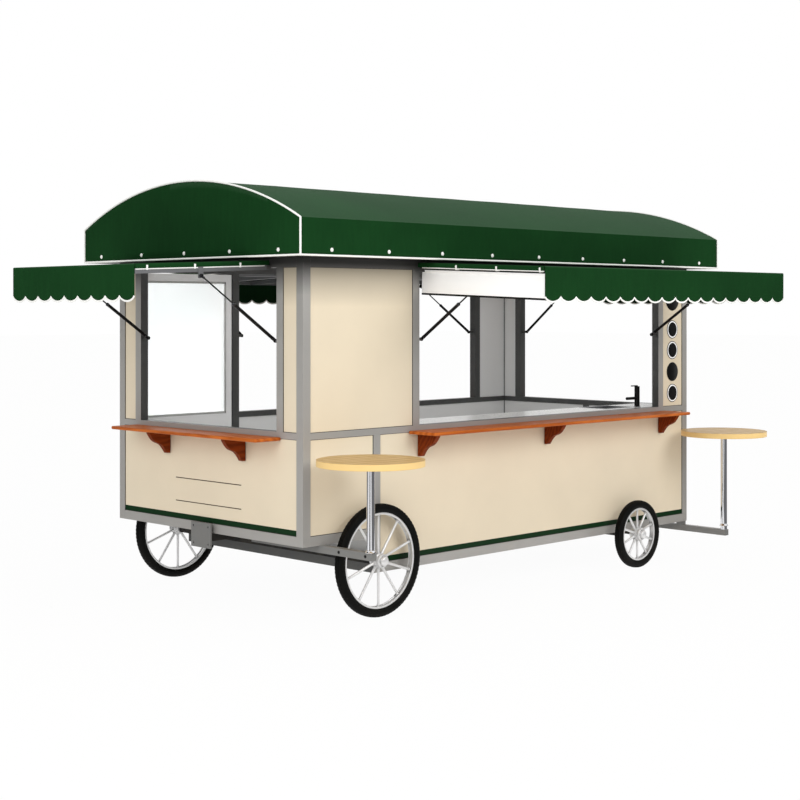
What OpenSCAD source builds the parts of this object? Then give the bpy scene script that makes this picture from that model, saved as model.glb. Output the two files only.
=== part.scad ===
// Four-wheeled food cart with serving windows on four sides, folding awnings and a tunnel roof cover.
// Units are millimetres. +X runs along the serving side, -Y is the serving side, +Z is up.
// The origin is on the ground under the middle of the body. The left end (-X) carries the hitch.

/* [Body] */
// Length of the body over its frame
body_l = 4000; // [3400:50:5000]
// Width of the body over its frame
body_w = 1900; // [1700:50:2300]
// Square tube of the frame
tube = 60; // [50:1:70]
// Height of the counter rail
rail_h = 40; // [30:1:60]
// Ground to the underside of the low floor
low_sill_z = 258; // [250:1:300]
// Ground to the underside of the raised floor over the big wheels
high_sill_z = 480; // [470:1:520]
// Length of the raised floor, from the left end to the step post
raised_l = 589; // [560:1:640]
// Ground to the top of the counter rail
counter_z = 1165; // [1100:5:1250]
// Ground to the underside of the header
header_z = 2170; // [2100:5:2400]
// Thickness of a wall panel
panel_t = 50; // [30:1:50]

/* [Windows] */
// Left end of the body to the serving window
window_start = 1002; // [980:1:1100]
// Right end of the body to the serving window
window_stop = 374; // [340:1:420]
// Right end of the body to the back window
back_window_stop = 434; // [340:1:480]
// Width of each end window
end_window_w = 1410; // [1200:10:1450]

/* [Roof] */
// Overhang of the roof cover past the walls
overhang = 170; // [140:5:200]
// Height of the cover's straight sides
cover_side = 224; // [180:2:260]
// Rise of the arched top above the sides
cover_rise = 272; // [200:4:340]
// Thickness of coated cloth
cloth_t = 4; // [3:0.5:5]

/* [Awnings] */
// Reach of a long awning from its hinge
awning_reach = 1046; // [900:2:1100]
// Reach of an end awning from its hinge
end_awning_reach = 986; // [900:2:1100]
// Fall of an awning over its reach, in degrees
awning_drop = 2.3; // [0:0.1:5]
// Square tube of an awning frame
awning_tube = 30; // [24:1:34]
// Height of the hanging valance
valance_h = 218; // [160:1:230]
// Depth of the valance's scallops
scallop_d = 30; // [20:1:36]
// Wanted width of one scallop
scallop_w = 150; // [120:1:180]

/* [Wheels] */
// Diameter of the big wheels at the hitch end
big_wheel_d = 705; // [690:1:720]
// Diameter of the small wheels
small_wheel_d = 496; // [490:1:506]
// Left end of the body to the big axle
big_axle_x = 553; // [545:1:560]
// Left end of the body to the small axle
small_axle_x = 3200; // [2900:5:3300]
// Height of a tyre's section
tyre_h = 55; // [40:1:65]
// Width of a tyre
tyre_w = 64; // [50:1:70]
// Spokes in each wheel
spokes = 10; // [8:1:14]

/* [Shelves and tables] */
// Thickness of a shelf board
shelf_t = 22; // [18:1:34]
// Depth of the serving shelf
shelf_d = 240; // [180:5:260]
// Depth of the end shelves
end_shelf_d = 210; // [160:5:240]
// Diameter of a round table top
table_d = 644; // [560:2:680]
// Thickness of a table top
table_t = 38; // [25:1:45]
// Ground to the top of the left table
left_table_z = 1030; // [900:5:1080]
// Ground to the top of the right table
right_table_z = 984; // [850:1:1050]
// Square tube of a table arm
arm_tube = 45; // [35:1:50]
// Depth of the worktop inside the serving window
worktop_d = 340; // [300:5:500]

/* [Hidden] */
$fn = 48;

hx = body_l / 2;                 // half length
hy = body_w / 2;                 // half width
low_top = low_sill_z + tube;     // top of the low sill and floor
high_top = high_sill_z + tube;   // top of the raised sill and floor
rail_z = counter_z - rail_h;     // underside of the counter rail
roof_z = header_z + tube;        // top of the header
panel_in = (tube - panel_t) / 2; // inset of a panel from the frame's faces
step_x = -hx + raised_l;         // left face of the step posts
step_end = step_x + tube;
win_lo = -hx + window_start;     // serving window, left and right edges
win_hi = hx - window_stop;
back_win_hi = hx - back_window_stop;
end_lo = -end_window_w / 2;      // end window edges
end_hi = end_window_w / 2;
seat = 0.3;                      // gap between pieces that seat on each other

// Colours
grey = [0.55, 0.55, 0.56];
dark = [0.22, 0.22, 0.23];
cream = [0.90, 0.85, 0.75];
green = [0.09, 0.25, 0.13];
wood = [0.66, 0.28, 0.10];
pale_wood = [0.86, 0.72, 0.46];
silver = [0.80, 0.80, 0.82];

// A box between two corners
module span(lo, hi) {
    translate(lo) cube(hi - lo);
}

// Puts a side's own drawing in place: its wall face is y = 0, outside is -y, x runs to the right seen
// from outside.
module on_side(side) {
    turn = side == "front" ? 0 : side == "right" ? 90 : side == "back" ? 180 : -90;
    half = (side == "front" || side == "back") ? hy : hx;
    rotate([0, 0, turn]) translate([0, -half, 0]) children();
}

// Window edges of a side, in that side's own drawing
function window_of(side) =
    side == "front" ? [win_lo, win_hi] :
    side == "back" ? [-back_win_hi, -win_lo] : [end_lo, end_hi];

sides = ["front", "back", "left", "right"];

// ---------------------------------------------------------------- frame

module corner_posts() {
    color(grey) for (sx = [-1, 1], sy = [-1, 1]) {
        foot = sx < 0 ? high_sill_z : low_sill_z;
        x0 = sx < 0 ? -hx : hx - tube;
        y0 = sy < 0 ? -hy : hy - tube;
        span([x0, y0, foot], [x0 + tube, y0 + tube, roof_z]);
    }
}

// Window jambs stand on the counter rail. The step posts run from the low sill to the rail,
// and the door's post from the low sill to the header.
module window_posts() {
    color(grey) {
        for (side = sides) on_side(side) {
            w = window_of(side);
            door_jamb = side == "back";
            span([w[0] - tube, 0, counter_z], [w[0], tube, header_z]);
            if (!door_jamb) span([w[1], 0, counter_z], [w[1] + tube, tube, header_z]);
        }
        span([win_lo - tube, hy - tube, low_top], [win_lo, hy, header_z]);
        for (y0 = [-hy, hy - tube])
            span([step_x, y0, low_top], [step_end, y0 + tube, y0 < 0 ? rail_z : high_sill_z]);
        span([hx - tube, -tube / 2, low_top], [hx, tube / 2, rail_z]);
    }
}

module sill_rails() {
    in_y = hy - tube;
    cross_y = in_y - seat;
    color(grey) {
        // raised sills: left end, then the short stretches over the big wheels
        span([-hx, -cross_y, high_sill_z], [-hx + tube, cross_y, high_top]);
        span([-hx + tube, -hy, high_sill_z], [step_x, -in_y, high_top]);
        span([-hx + tube, in_y, high_sill_z], [win_lo - tube, hy, high_top]);
        // low sills: both long sides, right end and the cross tube under the step
        for (y0 = [-hy, in_y]) span([step_x, y0, low_sill_z], [hx - tube, y0 + tube, low_top]);
        span([hx - tube, -cross_y, low_sill_z], [hx, cross_y, low_top]);
        span([step_x, -cross_y, low_sill_z], [step_end, cross_y, low_top]);
    }
}

module counter_rails() {
    in_y = hy - tube;
    color(grey) {
        span([-hx + tube, -hy, rail_z], [hx - tube, -in_y, counter_z]);
        span([win_lo, in_y, rail_z], [hx - tube, hy, counter_z]);
        for (x0 = [-hx, hx - tube]) span([x0, -in_y, rail_z], [x0 + tube, in_y, counter_z]);
    }
}

module header_rails() {
    in_y = hy - tube;
    color(grey) {
        for (y0 = [-hy, in_y]) span([-hx + tube, y0, header_z], [hx - tube, y0 + tube, roof_z]);
        for (x0 = [-hx, hx - tube]) span([x0, -in_y, header_z], [x0 + tube, in_y, roof_z]);
    }
}

// ---------------------------------------------------------------- walls

// A panel in a side's own drawing, between two x and two z
module panel(x0, x1, z0, z1) {
    span([x0, panel_in, z0], [x1, panel_in + panel_t, z1]);
}

module front_panels() {
    color(cream) on_side("front") {
        panel(-hx + tube, step_x, high_top, rail_z);
        panel(step_end, hx - tube, low_top, rail_z);
        panel(-hx + tube, win_lo - tube, counter_z, header_z);
        panel(win_hi + tube, hx - tube, counter_z, header_z);
    }
}

// Seen from outside, the door stands at the right of the back wall
module back_panels() {
    color(cream) on_side("back") {
        panel(-hx + tube, -win_lo, low_top, rail_z);
        panel(-hx + tube, -back_win_hi - tube, counter_z, header_z);
        panel(-win_lo + tube, -step_end, low_top, high_sill_z);
    }
}

module end_uppers() {
    panel(-hy + tube, end_lo - tube, counter_z, header_z);
    panel(end_hi + tube, hy - tube, counter_z, header_z);
}

module left_end_panels() {
    color(cream) on_side("left") {
        panel(-hy + tube, hy - tube, high_top, rail_z);
        end_uppers();
    }
}

module right_end_panels() {
    color(cream) on_side("right") {
        panel(-hy + tube, -tube / 2, low_top, rail_z);
        panel(tube / 2, hy - tube, low_top, rail_z);
        end_uppers();
    }
}

// ---------------------------------------------------------------- floor and running gear

floor_t = 20;      // floor board
riser_t = 40;      // upright board at the step
beam_y = 450;      // centre line of the floor beams
beam_w = 50;
axle_tube = 50;    // big axle beam
small_axle_tube = 40;
big_spindle_r = 14;
small_spindle_r = 10;
spin_gap = 0.06;   // running clearance of a hub on its spindle
wheel_gap = 48;    // wall to a big tyre's inner side
small_gap = 80;    // wall to a small tyre's inner side
hub_r = 46;
hub_l = 92;
cap_r = 30;
cap_l = 22;
rim_t = 12;
rim_w = 46;
spoke_d = 15;
spoke_in = 12;     // spoke inside its hub

big_r = big_wheel_d / 2;
small_r = small_wheel_d / 2;
big_y = hy + wheel_gap + tyre_w / 2;     // middle planes of the wheels
small_y = hy + small_gap + tyre_w / 2;
big_x = -hx + big_axle_x;
small_x = -hx + small_axle_x;
spindle_out = hub_l / 2 - 8;             // middle plane of a wheel to its spindle's end

module floor_panels() {
    in_y = hy - tube;
    riser_x = step_x + (tube - riser_t) / 2;
    color([0.45, 0.44, 0.43]) {
        span([-hx + tube, -in_y, high_top - floor_t], [riser_x + riser_t, in_y, high_top]);
        span([riser_x, -in_y, low_top], [riser_x + riser_t, in_y, high_top - floor_t - seat]);
        span([step_end, -in_y, low_top - floor_t], [hx - tube, in_y, low_top]);
    }
}

// Beams under both floors, and the blocks that carry the big axle
module chassis() {
    color(dark) for (sy = [-1, 1]) {
        y0 = sy * beam_y - beam_w / 2;
        span([-hx + tube, y0, high_sill_z], [step_x, y0 + beam_w, high_top - floor_t]);
        span([step_end, y0, low_sill_z], [hx - tube, y0 + beam_w, low_top - floor_t]);
        span([big_x - axle_tube, y0, big_r + axle_tube / 2], [step_x, y0 + beam_w, high_sill_z]);
    }
}

// A square beam with a round spindle at each end. A spindle above or below the beam's own height is
// carried by an upright block at the beam's end.
module axle(x, z, beam, beam_top, beam_half, spindle_end, spindle_r) {
    foot = min(beam_top - beam, z - spindle_r);
    head = max(beam_top, z + spindle_r);
    span([x - beam / 2, -beam_half, beam_top - beam], [x + beam / 2, beam_half, beam_top]);
    for (sy = [-1, 1]) {
        translate([x, sy * spindle_end, z]) rotate([sy * 90, 0, 0])
            cylinder(r = spindle_r, h = spindle_end - beam_half + 1);
        y0 = sy < 0 ? -beam_half : beam_half - beam;
        span([x - beam / 2, y0, foot], [x + beam / 2, y0 + beam, head]);
    }
}

module big_axle() {
    color(dark) axle(big_x, big_r, axle_tube, big_r + axle_tube / 2,
        big_y - hub_l / 2 - 8, big_y + spindle_out, big_spindle_r);
}

module small_axle() {
    color(dark) axle(small_x, small_r, small_axle_tube, low_sill_z,
        hy - tube, small_y + spindle_out, small_spindle_r);
}

// A wheel about the Y axis with its middle plane at y = 0 and its cap towards -y
module wheel_metal(r, spindle_r) {
    seat_r = r - tyre_h;
    difference() {
        union() {
            rotate([90, 0, 0]) rotate_extrude() translate([seat_r - rim_t - 0.3, -rim_w / 2]) square([rim_t, rim_w]);
            for (i = [0 : spokes - 1]) rotate([0, i * 360 / spokes, 0]) translate([0, 0, hub_r - spoke_in])
                cylinder(d = spoke_d, h = seat_r - rim_t / 2 - hub_r + spoke_in);
            rotate([90, 0, 0]) cylinder(r = hub_r, h = hub_l, center = true);
            translate([0, -hub_l / 2, 0]) rotate([90, 0, 0]) cylinder(r = cap_r, h = cap_l);
        }
        rotate([90, 0, 0]) translate([0, 0, -hub_l / 2 - 1]) cylinder(r = spindle_r + spin_gap, h = hub_l - 4);
    }
}

module tyre(r) {
    side_r = 14;
    rotate([90, 0, 0]) rotate_extrude() tyre_section(r, side_r);
}

// Tyre section: a rectangle with its two outer corners rounded
module tyre_section(r, side_r) {
    inner = r - tyre_h;
    difference() {
        translate([inner, -tyre_w / 2]) square([tyre_h, tyre_w]);
        for (s = [-1, 1]) difference() {
            translate([r - side_r, s > 0 ? tyre_w / 2 - side_r : -tyre_w / 2 - 1]) square(side_r + 1);
            translate([r - side_r, s * (tyre_w / 2 - side_r)]) circle(r = side_r);
        }
    }
}

// Puts a wheel drawing on an axle end: s is -1 for the serving side and 1 for the back
module on_axle(x, y, z, s) {
    translate([x, s * y, z]) rotate([0, 0, s < 0 ? 0 : 180]) children();
}

module big_wheel(s) { color(silver) on_axle(big_x, big_y, big_r, s) wheel_metal(big_r, big_spindle_r); }
module small_wheel(s) { color(silver) on_axle(small_x, small_y, small_r, s) wheel_metal(small_r, small_spindle_r); }
module big_tyre(s) { color([0.08, 0.08, 0.08]) on_axle(big_x, big_y, big_r, s) tyre(big_r); }
module small_tyre(s) { color([0.08, 0.08, 0.08]) on_axle(small_x, small_y, small_r, s) tyre(small_r); }

// ---------------------------------------------------------------- hitch

hitch_w = 200;
hitch_h = 160;
hitch_t = 12;
hitch_stand = 25;        // plate to the sill's face
hitch_bolt_r = 7;
hitch_bolt_y = 150;
hitch_bolt_z = 110;
hitch_mid_z = high_sill_z - 15;

module hitch_receiver() {
    color(dark) span([-hx - hitch_stand, -tube / 2, high_sill_z - tube], [step_x, tube / 2, high_sill_z]);
}

module hitch_plate() {
    x0 = -hx - hitch_stand - hitch_t;
    color(grey) difference() {
        span([x0, -hitch_w / 2, hitch_mid_z - hitch_h / 2], [x0 + hitch_t, hitch_w / 2, hitch_mid_z + hitch_h / 2]);
        for (sy = [-1, 1], sz = [-1, 1])
            translate([x0 - 1, sy * hitch_bolt_y / 2, hitch_mid_z + sz * hitch_bolt_z / 2])
                rotate([0, 90, 0]) cylinder(r = hitch_bolt_r, h = hitch_t + 2);
    }
}

// ---------------------------------------------------------------- roof

deck_t = 12;
cover_foot = roof_z + 2;   // lower edge of the cover

module roof_deck() {
    out = overhang - cloth_t - seat;
    color(dark) span([-hx - out, -hy - out, roof_z], [hx + out, hy + out, roof_z + deck_t]);
}

// The cover's end view: straight sides and an arched top, grown inwards by t
module cover_section(t) {
    half = hy + overhang;
    top = cover_foot + cover_side + cover_rise;
    r = (half * half + cover_rise * cover_rise) / (2 * cover_rise);
    foot = t > 0 ? cover_foot - 1 : cover_foot;
    intersection() {
        translate([-half + t, foot]) square([2 * (half - t), top - foot]);
        translate([0, top - r]) circle(r = r - t, $fn = 180);
    }
}

module canopy_cover() {
    len = body_l + 2 * overhang;
    color(green) rotate([90, 0, 90]) difference() {
        linear_extrude(len, center = true) cover_section(0);
        linear_extrude(len - 2 * cloth_t, center = true) cover_section(cloth_t);
    }
}

// ---------------------------------------------------------------- shelves

shelf_z = rail_z + 9;        // top of the shelves
bracket_t = 35;
bracket_reach = 168;
bracket_h = 146;
door_clear = 10;             // back shelf to the door's post
shelf_over = 102;            // shelf past the window's left edge
shelf_over_right = 79;

module shelf_boards() {
    color(wood) {
        on_side("front") span([win_lo - shelf_over, -shelf_d, shelf_z - shelf_t], [win_hi + shelf_over_right, 0, shelf_z]);
        on_side("back")
            span([-back_win_hi - shelf_over_right, -shelf_d, shelf_z - shelf_t], [-win_lo - door_clear, 0, shelf_z]);
        for (side = ["left", "right"]) on_side(side)
            span([end_lo - 45, -end_shelf_d, shelf_z - shelf_t], [end_hi + 45, 0, shelf_z]);
    }
}

// One bracket against the wall at x = 0, with a double-curved lower edge
module shelf_bracket() {
    steps = 12;
    nose = 10;
    foot = 26;
    swell = 0.1;
    edge = [for (i = [0 : steps]) let (t = i / steps)
        [-bracket_reach + (bracket_reach - foot) * t,
         -nose - (bracket_h - nose) * (t + swell * sin(360 * t))]];
    translate([-bracket_t / 2, 0, shelf_z - shelf_t]) rotate([90, 0, 90]) linear_extrude(bracket_t)
        polygon(concat([[0, 0], [-bracket_reach, 0]], edge, [[0, -bracket_h]]));
}

module shelf_brackets() {
    color(wood * 0.6) {
        on_side("front") for (x = [win_lo + 2, (win_lo + win_hi) / 2 - 34, win_hi + 14])
            translate([x, 0, 0]) shelf_bracket();
        on_side("back") for (x = [-win_lo - 40, -(win_lo + back_win_hi) / 2, -back_win_hi - 14])
            translate([x, 0, 0]) shelf_bracket();
        for (side = ["left", "right"]) on_side(side) for (x = [-390, 390]) translate([x, 0, 0]) shelf_bracket();
    }
}

// ---------------------------------------------------------------- inside

worktop_t = 30;
upright_t = 30;
sink_l = 320;
sink_w = 230;
sink_d = 150;
sink_wall = 2;
sink_x = win_hi - 320;       // middle of the sink
worktop_y = -hy + tube;      // front edge of the worktop
sink_y = worktop_y + worktop_d / 2 + 20;
tap_x = win_hi - 136;
tap_y = worktop_y + 42;

module worktop() {
    color([0.93, 0.93, 0.93]) difference() {
        span([win_lo, worktop_y, counter_z - worktop_t], [hx - tube, worktop_y + worktop_d, counter_z]);
        span([sink_x - sink_l / 2, sink_y - sink_w / 2, counter_z - worktop_t - 1],
            [sink_x + sink_l / 2, sink_y + sink_w / 2, counter_z + 1]);
    }
}

module worktop_uprights() {
    first = win_lo;
    last = hx - tube - upright_t;
    color(grey) for (x = [first, (2 * first + sink_x) / 3, sink_x - sink_l / 2 - 60, last])
        span([x, worktop_y, low_top], [x + upright_t, worktop_y + worktop_d - 20, counter_z - worktop_t]);
}

// An open basin with a thin rim that lies on the worktop
module sink() {
    lip = 14;
    g = 0.3;
    x0 = sink_x - sink_l / 2 + g;
    x1 = sink_x + sink_l / 2 - g;
    y0 = sink_y - sink_w / 2 + g;
    y1 = sink_y + sink_w / 2 - g;
    z0 = counter_z - sink_d;
    color(silver) difference() {
        union() {
            span([x0, y0, z0], [x1, y1, counter_z + 2]);
            span([x0 - lip, y0 - lip, counter_z], [x1 + lip, y1 + lip, counter_z + 2]);
        }
        span([x0 + sink_wall, y0 + sink_wall, z0 + sink_wall], [x1 - sink_wall, y1 - sink_wall, counter_z + 3]);
    }
}

module tap() {
    body_r = 20;
    tall = 160;
    spout = 130;
    color([0.05, 0.05, 0.05]) translate([tap_x, tap_y, counter_z]) {
        cylinder(r = body_r, h = tall);
        translate([0, 0, 70]) rotate([0, -90, 0]) cylinder(r = 11, h = spout);
        span([-70, -7, tall], [0, 7, tall + 8]);
    }
}

// ---------------------------------------------------------------- tables

left_table = [-hx + 160, -hy - 420];     // middle of each table top
right_table = [hx - tube / 2, -hy - 360];
post_r = 25;
flange_r = 70;
flange_t = 6;
arm_past = 150;                          // arm past the middle of the floor beam
right_arm_drop = 28;                     // right arm hangs this far under the sill

module table_tops() {
    color(pale_wood) {
        translate([left_table[0], left_table[1], left_table_z - table_t]) cylinder(d = table_d, h = table_t, $fn = 96);
        translate([right_table[0], right_table[1], right_table_z - table_t]) cylinder(d = table_d, h = table_t, $fn = 96);
    }
}

// A round post with a flange under the table top
module table_post(at, foot, top) {
    translate([at[0], at[1], foot]) cylinder(r = post_r, h = top - foot);
    translate([at[0], at[1], top - flange_t]) cylinder(r = flange_r, h = flange_t);
}

module table_posts() {
    color(silver) {
        table_post(left_table, high_sill_z, left_table_z - table_t);
        table_post(right_table, low_sill_z - right_arm_drop, right_table_z - table_t);
    }
}

// A square arm under the floor. A block on it takes up its drop below the sill.
module table_arm(at, sill, drop) {
    x0 = at[0] - arm_tube / 2;
    in_y = -beam_y + arm_past;
    top = sill - drop;
    span([x0, at[1] - post_r - 2, top - arm_tube], [x0 + arm_tube, in_y, top]);
    if (drop > 0) span([x0, -hy + 4, top], [x0 + arm_tube, -hy + tube, sill]);
}

module table_arms() {
    color(grey) {
        table_arm(left_table, high_sill_z, 0);
        table_arm(right_table, low_sill_z, right_arm_drop);
    }
}

// ---------------------------------------------------------------- awnings

awning_gap = 6;              // window edge to a long awning's frame
end_awning_gap = 57;         // window edge to an end awning's frame
cloth_lap = 30;              // cloth past the frame of a long awning
hinge_out = 20;              // wall face to the hinge axis
hinge_z = header_z + 1;
hinge_r = awning_tube / 2;
hinge_pin_r = 5;
pin_gap = 0.1;
cloth_up = 40;               // frame's middle to the underside of the cloth
hinge_ear = 6;
strut_at = 520;              // hinge to the rod's pin, along the side bar
strut_low = 38;              // side bar's middle down to the rod's pin
strut_base_in = 30;          // wall face in to the cylinder's pin
strut_base_z = header_z - 450;   // the cylinder's pin on the window jamb
strut_pin_r = 4;
eye_t = 12;
eye_r = 12;
lug_t = 6;
cylinder_r = 10.5;
cylinder_l = 405;
cylinder_bore = 300;
rod_r = 5;
rod_in = 24;                 // rod left inside its cylinder with the awning open
menu_h = 146;
menu_t = 12;

// In a side's own drawing: the rod's pin with the awning open
rod_pin_y = -hinge_out - strut_at * cos(awning_drop) - strut_low * sin(awning_drop);
rod_pin_z = hinge_z - strut_at * sin(awning_drop) - strut_low * cos(awning_drop);
strut_run = strut_base_in - rod_pin_y;
strut_rise = rod_pin_z - strut_base_z;
strut_len = sqrt(strut_run * strut_run + strut_rise * strut_rise);
strut_tilt = atan2(strut_rise, strut_run);

function is_long(side) = side == "front" || side == "back";
function reach_of(side) = is_long(side) ? awning_reach : end_awning_reach;
function lap_of(side) = is_long(side) ? cloth_lap : 0;

// Edges of an awning's frame
function frame_of(side) =
    let (w = window_of(side), gap = is_long(side) ? awning_gap : end_awning_gap) [w[0] + gap, w[1] - gap];

// Window edge to a strut's middle: inside the side bars of a long awning, outside those of an end awning
function strut_off(side) = is_long(side) ? awning_gap + awning_tube + lug_t + seat + eye_t / 2 :
    end_awning_gap - lug_t - seat - eye_t / 2;

// Puts an awning's own drawing in place: its hinge axis is the x axis, and it reaches towards -y
module on_hinge() {
    translate([0, -hinge_out, hinge_z]) rotate([awning_drop, 0, 0]) children();
}

// Frame of side bars, cross bars and rafters, with the lugs for the struts
module awning_frame(side) {
    f = frame_of(side);
    x0 = f[0];
    x1 = f[1];
    reach = reach_of(side);
    half = awning_tube / 2;
    lugs = is_long(side) ? [x0 + awning_tube - 1, x1 - awning_tube - lug_t] : [x0 - lug_t, x1 - 1];
    bays = max(2, round((x1 - x0) / 520));
    pitch = (x1 - x0 - awning_tube) / bays;
    color([0.75, 0.75, 0.76]) on_side(side) on_hinge() difference() {
        union() {
            translate([x0, 0, 0]) rotate([0, 90, 0]) cylinder(r = hinge_r, h = x1 - x0);
            for (i = [0 : bays]) span([x0 + i * pitch, -reach, -half], [x0 + i * pitch + awning_tube, 0, half]);
            span([x0, -reach, -half], [x1, -reach + awning_tube, half]);
            for (x = lugs)
                span([x, -strut_at - 18, -strut_low - 14], [x + lug_t + 1, -strut_at + 18, half]);
        }
        for (x = [x0 - 1, x1 - 19]) translate([x, 0, 0]) rotate([0, 90, 0]) cylinder(r = hinge_pin_r + pin_gap, h = 20);
    }
}

// Outline of the valance: straight top, round scallops below
module valance_outline(x0, x1) {
    n = round((x1 - x0) / scallop_w);
    pitch = (x1 - x0) / n;
    r = (pitch * pitch / 4 + scallop_d * scallop_d) / (2 * scallop_d);
    top = cloth_up + cloth_t;
    intersection() {
        translate([x0, top - valance_h]) square([x1 - x0, valance_h]);
        union() {
            translate([x0, top - valance_h + scallop_d]) square([x1 - x0, valance_h - scallop_d]);
            for (i = [0 : n - 1]) translate([x0 + (i + 0.5) * pitch, top - valance_h + r]) circle(r = r);
        }
    }
}

module awning_cloth(side) {
    f = frame_of(side);
    x0 = f[0] - lap_of(side);
    x1 = f[1] + lap_of(side);
    half = awning_tube / 2;
    front = -reach_of(side) - seat;
    color(green) on_side(side) on_hinge() {
        span([x0, front - cloth_t, cloth_up], [x1, 10, cloth_up + cloth_t]);
        for (x = [x0, x1 - cloth_t]) span([x, front - cloth_t, half + seat], [x + cloth_t, 10, cloth_up + cloth_t]);
        translate([0, front, 0]) rotate([90, 0, 0]) linear_extrude(cloth_t) valance_outline(x0, x1);
    }
}

// Blank board under the serving awning's left side bar
module menu_board() {
    x0 = win_lo + awning_gap + 4;
    half = awning_tube / 2;
    color("white") on_side("front") on_hinge()
        span([x0, -awning_reach + 6, -half - menu_h], [x0 + menu_t, -hinge_r + 2, -half]);
}

// Ears and pins that carry the awnings on the header, pins for the strut cylinders on the jambs, and the
// post's halves of the door hinges
module hinge_brackets() {
    color(grey) door_hinge_halves();
    color(grey) for (side = sides) on_side(side) {
        w = window_of(side);
        f = frame_of(side);
        off = strut_off(side);
        for (s = [0, 1]) {
            edge = s == 0 ? f[0] - 1 : f[1] + 1;
            inward = s == 0 ? 1 : -1;
            translate([edge, 0, 0]) mirror([s == 0 ? 1 : 0, 0, 0])
                span([0, -hinge_out - 12, hinge_z - 12], [hinge_ear, 0, hinge_z + 12]);
            translate([edge - inward, -hinge_out, hinge_z]) rotate([0, inward * 90, 0])
                cylinder(r = hinge_pin_r, h = 17);
            translate([w[s], strut_base_in, strut_base_z]) rotate([0, inward * 90, 0]) {
                cylinder(r = 16, h = 4);
                cylinder(r = eye_r - 2, h = off - eye_t / 2 - seat);
                cylinder(r = strut_pin_r, h = off + eye_t / 2 + 3);
            }
        }
    }
}

// Puts a strut's own drawing in place: the cylinder's pin is the origin and +y points away from the rod
module on_strut(side, s) {
    w = window_of(side);
    x = s == 0 ? w[0] + strut_off(side) : w[1] - strut_off(side);
    on_side(side) translate([x, strut_base_in, strut_base_z]) rotate([-strut_tilt, 0, 0]) children();
}

module eye(bore_r) {
    rotate([0, 90, 0]) difference() {
        cylinder(r = eye_r, h = eye_t, center = true);
        if (bore_r > 0) cylinder(r = bore_r, h = eye_t + 2, center = true);
    }
}

module strut_cylinders(side) {
    color([0.06, 0.06, 0.06]) for (s = [0, 1]) on_strut(side, s) {
        eye(strut_pin_r + pin_gap);
        difference() {
            translate([0, -eye_r + 2, 0]) rotate([90, 0, 0]) cylinder(r = cylinder_r, h = cylinder_l - eye_r + 2);
            translate([0, -cylinder_l + cylinder_bore, 0]) rotate([90, 0, 0]) cylinder(r = rod_r + pin_gap, h = cylinder_bore + 1);
        }
    }
}

module strut_rods(side) {
    color([0.6, 0.6, 0.6]) for (s = [0, 1]) on_strut(side, s) {
        translate([0, -strut_len, 0]) eye(0);
        translate([0, -cylinder_l + rod_in, 0]) rotate([90, 0, 0])
            cylinder(r = rod_r, h = strut_len - cylinder_l + rod_in - eye_r + 2);
    }
}

// ---------------------------------------------------------------- door

door_gap = 7;
knuckle_r = 6;
knuckle_l = 70;
knuckle_zs = [high_top + 160, (high_top + header_z) / 2, header_z - 160];
hinge_x = -hx + tube + door_gap + 1;      // door hinge axis
hinge_y = hy - panel_in - panel_t - knuckle_r - 1;
door_stile = 55;
glass_t = 6;

// Knuckles above and below each of the door's own, on strips against the corner post
module door_hinge_halves() {
    half_l = 30;
    post_face = hy - tube;
    for (z = knuckle_zs, s = [-1, 1]) {
        mid = z + s * (knuckle_l / 2 + seat + half_l / 2);
        translate([hinge_x, hinge_y, mid]) cylinder(r = knuckle_r, h = half_l, center = true);
        span([-hx + panel_in + panel_t + seat, post_face - 5, mid - half_l / 2], [hinge_x, post_face, mid + half_l / 2]);
    }
}

// The door fills the bay beside the step in the back wall, above the raised sill
module door() {
    x0 = -hx + tube + door_gap;
    x1 = win_lo - tube - door_gap;
    z0 = high_top + door_gap;
    z1 = header_z - door_gap;
    y0 = hy - panel_in - panel_t;
    y1 = hy - panel_in;
    color(cream) {
        difference() {
            span([x0, y0, z0], [x1, y1, z1]);
            span([x0 + door_stile, y0 - 1, counter_z], [x1 - door_stile, y1 + 1, z1 - door_stile]);
        }
        for (z = knuckle_zs) {
            translate([hinge_x, hinge_y, z]) cylinder(r = knuckle_r, h = knuckle_l, center = true);
            span([hinge_x + 1, hinge_y, z - knuckle_l / 2], [hinge_x + 2 * knuckle_r, y0 + 1, z + knuckle_l / 2]);
        }
    }
}

module door_glass() {
    x0 = -hx + tube + door_gap + door_stile;
    x1 = win_lo - tube - door_gap - door_stile;
    z1 = header_z - door_gap - door_stile;
    y = hy - panel_in - panel_t / 2;
    color([0.85, 0.92, 0.95, 0.4]) span([x0, y - glass_t / 2, counter_z], [x1, y + glass_t / 2, z1]);
}

chassis();
big_axle();
small_axle();
hitch_receiver();
hitch_plate();
sill_rails();
corner_posts();
window_posts();
counter_rails();
header_rails();
front_panels();
back_panels();
left_end_panels();
right_end_panels();
floor_panels();
roof_deck();
canopy_cover();
shelf_boards();
shelf_brackets();
worktop();
worktop_uprights();
sink();
tap();
table_tops();
table_posts();
table_arms();
hinge_brackets();
awning_frame("front");  // front_awning_frame
awning_cloth("front");  // front_awning_cloth
menu_board();
awning_frame("back");  // back_awning_frame
awning_cloth("back");  // back_awning_cloth
awning_frame("left");  // left_awning_frame
awning_cloth("left");  // left_awning_cloth
awning_frame("right");  // right_awning_frame
awning_cloth("right");  // right_awning_cloth
strut_cylinders("front");  // front_strut_cylinders
strut_rods("front");  // front_strut_rods
strut_cylinders("back");  // back_strut_cylinders
strut_rods("back");  // back_strut_rods
strut_cylinders("left");  // left_strut_cylinders
strut_rods("left");  // left_strut_rods
strut_cylinders("right");  // right_strut_cylinders
strut_rods("right");  // right_strut_rods
big_wheel(-1);  // big_wheel_front
big_tyre(-1);  // big_tyre_front
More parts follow.
